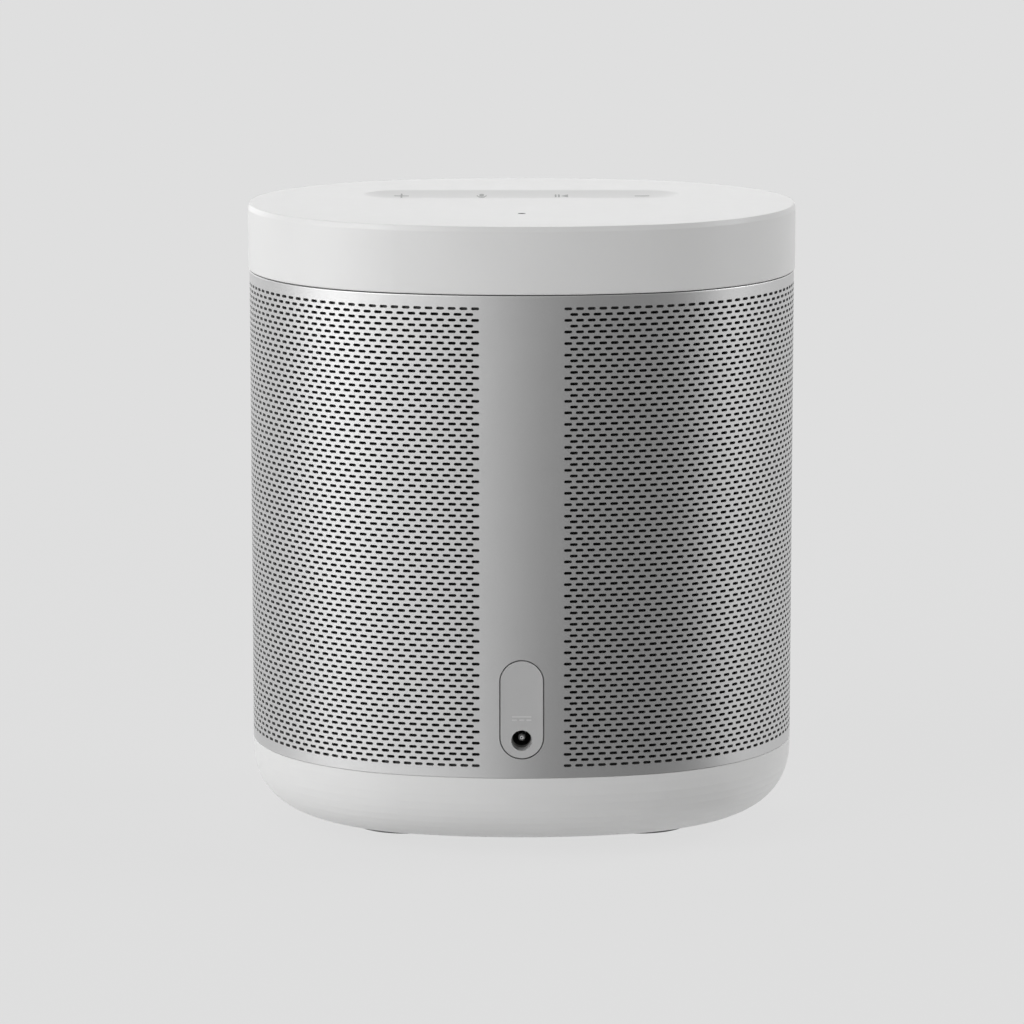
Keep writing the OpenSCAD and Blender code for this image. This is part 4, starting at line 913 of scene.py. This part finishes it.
BACK = 0.738  # tone of the background
NEAR_GLOW = 0.690  # what the floor near the object gives off by itself
WORLD = 0.13  # fill light from all round
FLOOR_HALF = 6.0
FLOOR_FADE = (0.15, 0.6)  # from the near floor to the plain background, distances from the middle


def background_rays(tree):
    """1 for the rays that show the background: camera, glossy and transmission."""
    path = tree.nodes.new("ShaderNodeLightPath")
    out = path.outputs["Is Camera Ray"]
    for name in ("Is Glossy Ray", "Is Transmission Ray"):
        most = tree.nodes.new("ShaderNodeMath")
        most.operation = "MAXIMUM"
        tree.links.new(out, most.inputs[0])
        tree.links.new(path.outputs[name], most.inputs[1])
        out = most.outputs[0]
    return out


def build_floor():
    size = FLOOR_HALF
    s = Shader("floor_paper")
    nt = s.tree
    seen_rays = background_rays(nt)
    lit = s.node("ShaderNodeBsdfDiffuse")
    lit.inputs["Color"].default_value = (*grey(0.88), 1)
    paper = s.node("ShaderNodeBsdfDiffuse")
    paper.inputs["Color"].default_value = (*grey(0.06), 1)
    glow = s.node("ShaderNodeEmission")
    glow.inputs["Color"].default_value = (*grey(NEAR_GLOW), 1)
    flat = s.node("ShaderNodeEmission")
    flat.inputs["Color"].default_value = (*grey(BACK), 1)
    near = s.node("ShaderNodeAddShader")
    s.link(paper.outputs[0], near.inputs[0])
    s.link(glow.outputs[0], near.inputs[1])
    dist = s.node("ShaderNodeVectorMath", operation="LENGTH")
    s.link(s.place, dist.inputs[0])
    far = s.span(dist.outputs["Value"], *FLOOR_FADE, 0.0, 1.0)
    seen = s.node("ShaderNodeMixShader")
    s.link(far, seen.inputs[0])
    s.link(near.outputs[0], seen.inputs[1])
    s.link(flat.outputs[0], seen.inputs[2])
    both = s.node("ShaderNodeMixShader")
    s.link(seen_rays, both.inputs[0])
    s.link(lit.outputs[0], both.inputs[1])
    s.link(seen.outputs[0], both.inputs[2])
    out = nt.nodes["Material Output"]
    s.link(both.outputs[0], out.inputs["Surface"])
    nt.nodes.remove(s.bsdf)
    points = [(-size, -size, 0), (size, -size, 0), (size, size, 0), (-size, size, 0)]
    ob = new_object("floor", points, [(0, 1, 2, 3)], body=None, material=s.mat, smooth=False)


def build_world():
    world = bpy.data.worlds.new("studio")
    bpy.context.scene.world = world
    world.use_nodes = True
    nt = world.node_tree
    bg = nt.nodes["Background"]
    fill = nt.nodes.new("ShaderNodeBackground")
    fill.inputs["Color"].default_value = (*grey(WORLD), 1)
    bg.inputs["Color"].default_value = (*grey(BACK), 1)
    mix = nt.nodes.new("ShaderNodeMixShader")
    nt.links.new(background_rays(nt), mix.inputs[0])
    nt.links.new(fill.outputs[0], mix.inputs[1])
    nt.links.new(bg.outputs[0], mix.inputs[2])
    nt.links.new(mix.outputs[0], nt.nodes["World Output"].inputs["Surface"])


# name, azimuth and elevation in degrees, distance, width, height, watts
LAMPS = [
    ("left_box", -72, 8, 2.6, 1.6, 1.4, 24.0),
    ("left_fill", -38, 12, 2.6, 1.3, 1.8, 9.0),
    ("left_high", -48, 32, 2.0, 1.0, 0.8, 9.5),
    ("right_box", 84, 12, 2.6, 0.9, 1.8, 8.2),
    ("right_high", 97, 35, 2.0, 0.8, 0.8, 9.0),
    ("top_box", 180, 74, 1.2, 1.0, 0.8, 3.9),
    ("back_box", 170, 12, 2.6, 2.4, 0.7, 3.2),
    ("front_box", -142, 14, 2.6, 1.4, 1.4, 7.0),
]


def build_lamps():
    centre = Vector((0, 0, 75 * MM))
    for name, azimuth, elevation, distance, width, height, watts in LAMPS:
        a, e = math.radians(azimuth), math.radians(elevation)
        away = Vector((math.sin(a) * math.cos(e), -math.cos(a) * math.cos(e), math.sin(e)))
        data = bpy.data.lights.new(name, "AREA")
        data.shape = "RECTANGLE"
        data.size, data.size_y = width, height
        data.energy = watts
        ob = add_object(name, data)
        ob.location = centre + away * distance
        ob.rotation_euler = away.to_track_quat("Z", "Y").to_euler()


# A grey card right of the camera, seen only in reflections: first and last azimuth in
# degrees, distance, height, how far its foot comes in, and its tone
CARD = (-4, 66, 0.5, 0.6, 0.064, 0.25)


def build_card():
    first, last, distance, height, foot, tone = CARD
    angles = np.radians(np.linspace(first, last, 13))
    rows = [(foot, MM), (distance, MM), (distance, height)]
    points = [(r * math.sin(a), -r * math.cos(a), z) for r, z in rows for a in angles]
    n = len(angles)
    faces = [(k + i, k + i + 1, k + n + i + 1, k + n + i) for k in (0, n) for i in range(n - 1)]
    s = Shader("grey_card")
    s.plain(Base_Color=(0, 0, 0, 1), Roughness=1.0, Specular_IOR_Level=0.0,
            Emission_Color=(tone, tone, tone, 1), Emission_Strength=1.0)
    ob = new_object("grey_card", points, faces, body=None, material=s.mat, smooth=False)
    ob.visible_camera = ob.visible_diffuse = ob.visible_shadow = False


LOOK_DOWN = 10.01  # degrees


def build_camera():
    data = bpy.data.cameras.new("camera")
    data.sensor_width = 36.0
    data.lens = 178.54
    data.shift_x = -0.0095
    data.clip_start, data.clip_end = 0.01, 50
    ob = add_object("camera", data)
    ob.location = (0, -1.2102, 0.2891)
    ob.rotation_euler = (math.radians(90 - LOOK_DOWN), 0, 0)
    bpy.context.scene.camera = ob


build_floor()
build_world()
build_lamps()
build_card()
build_camera()
bpy.context.scene.view_settings.view_transform = "Standard"
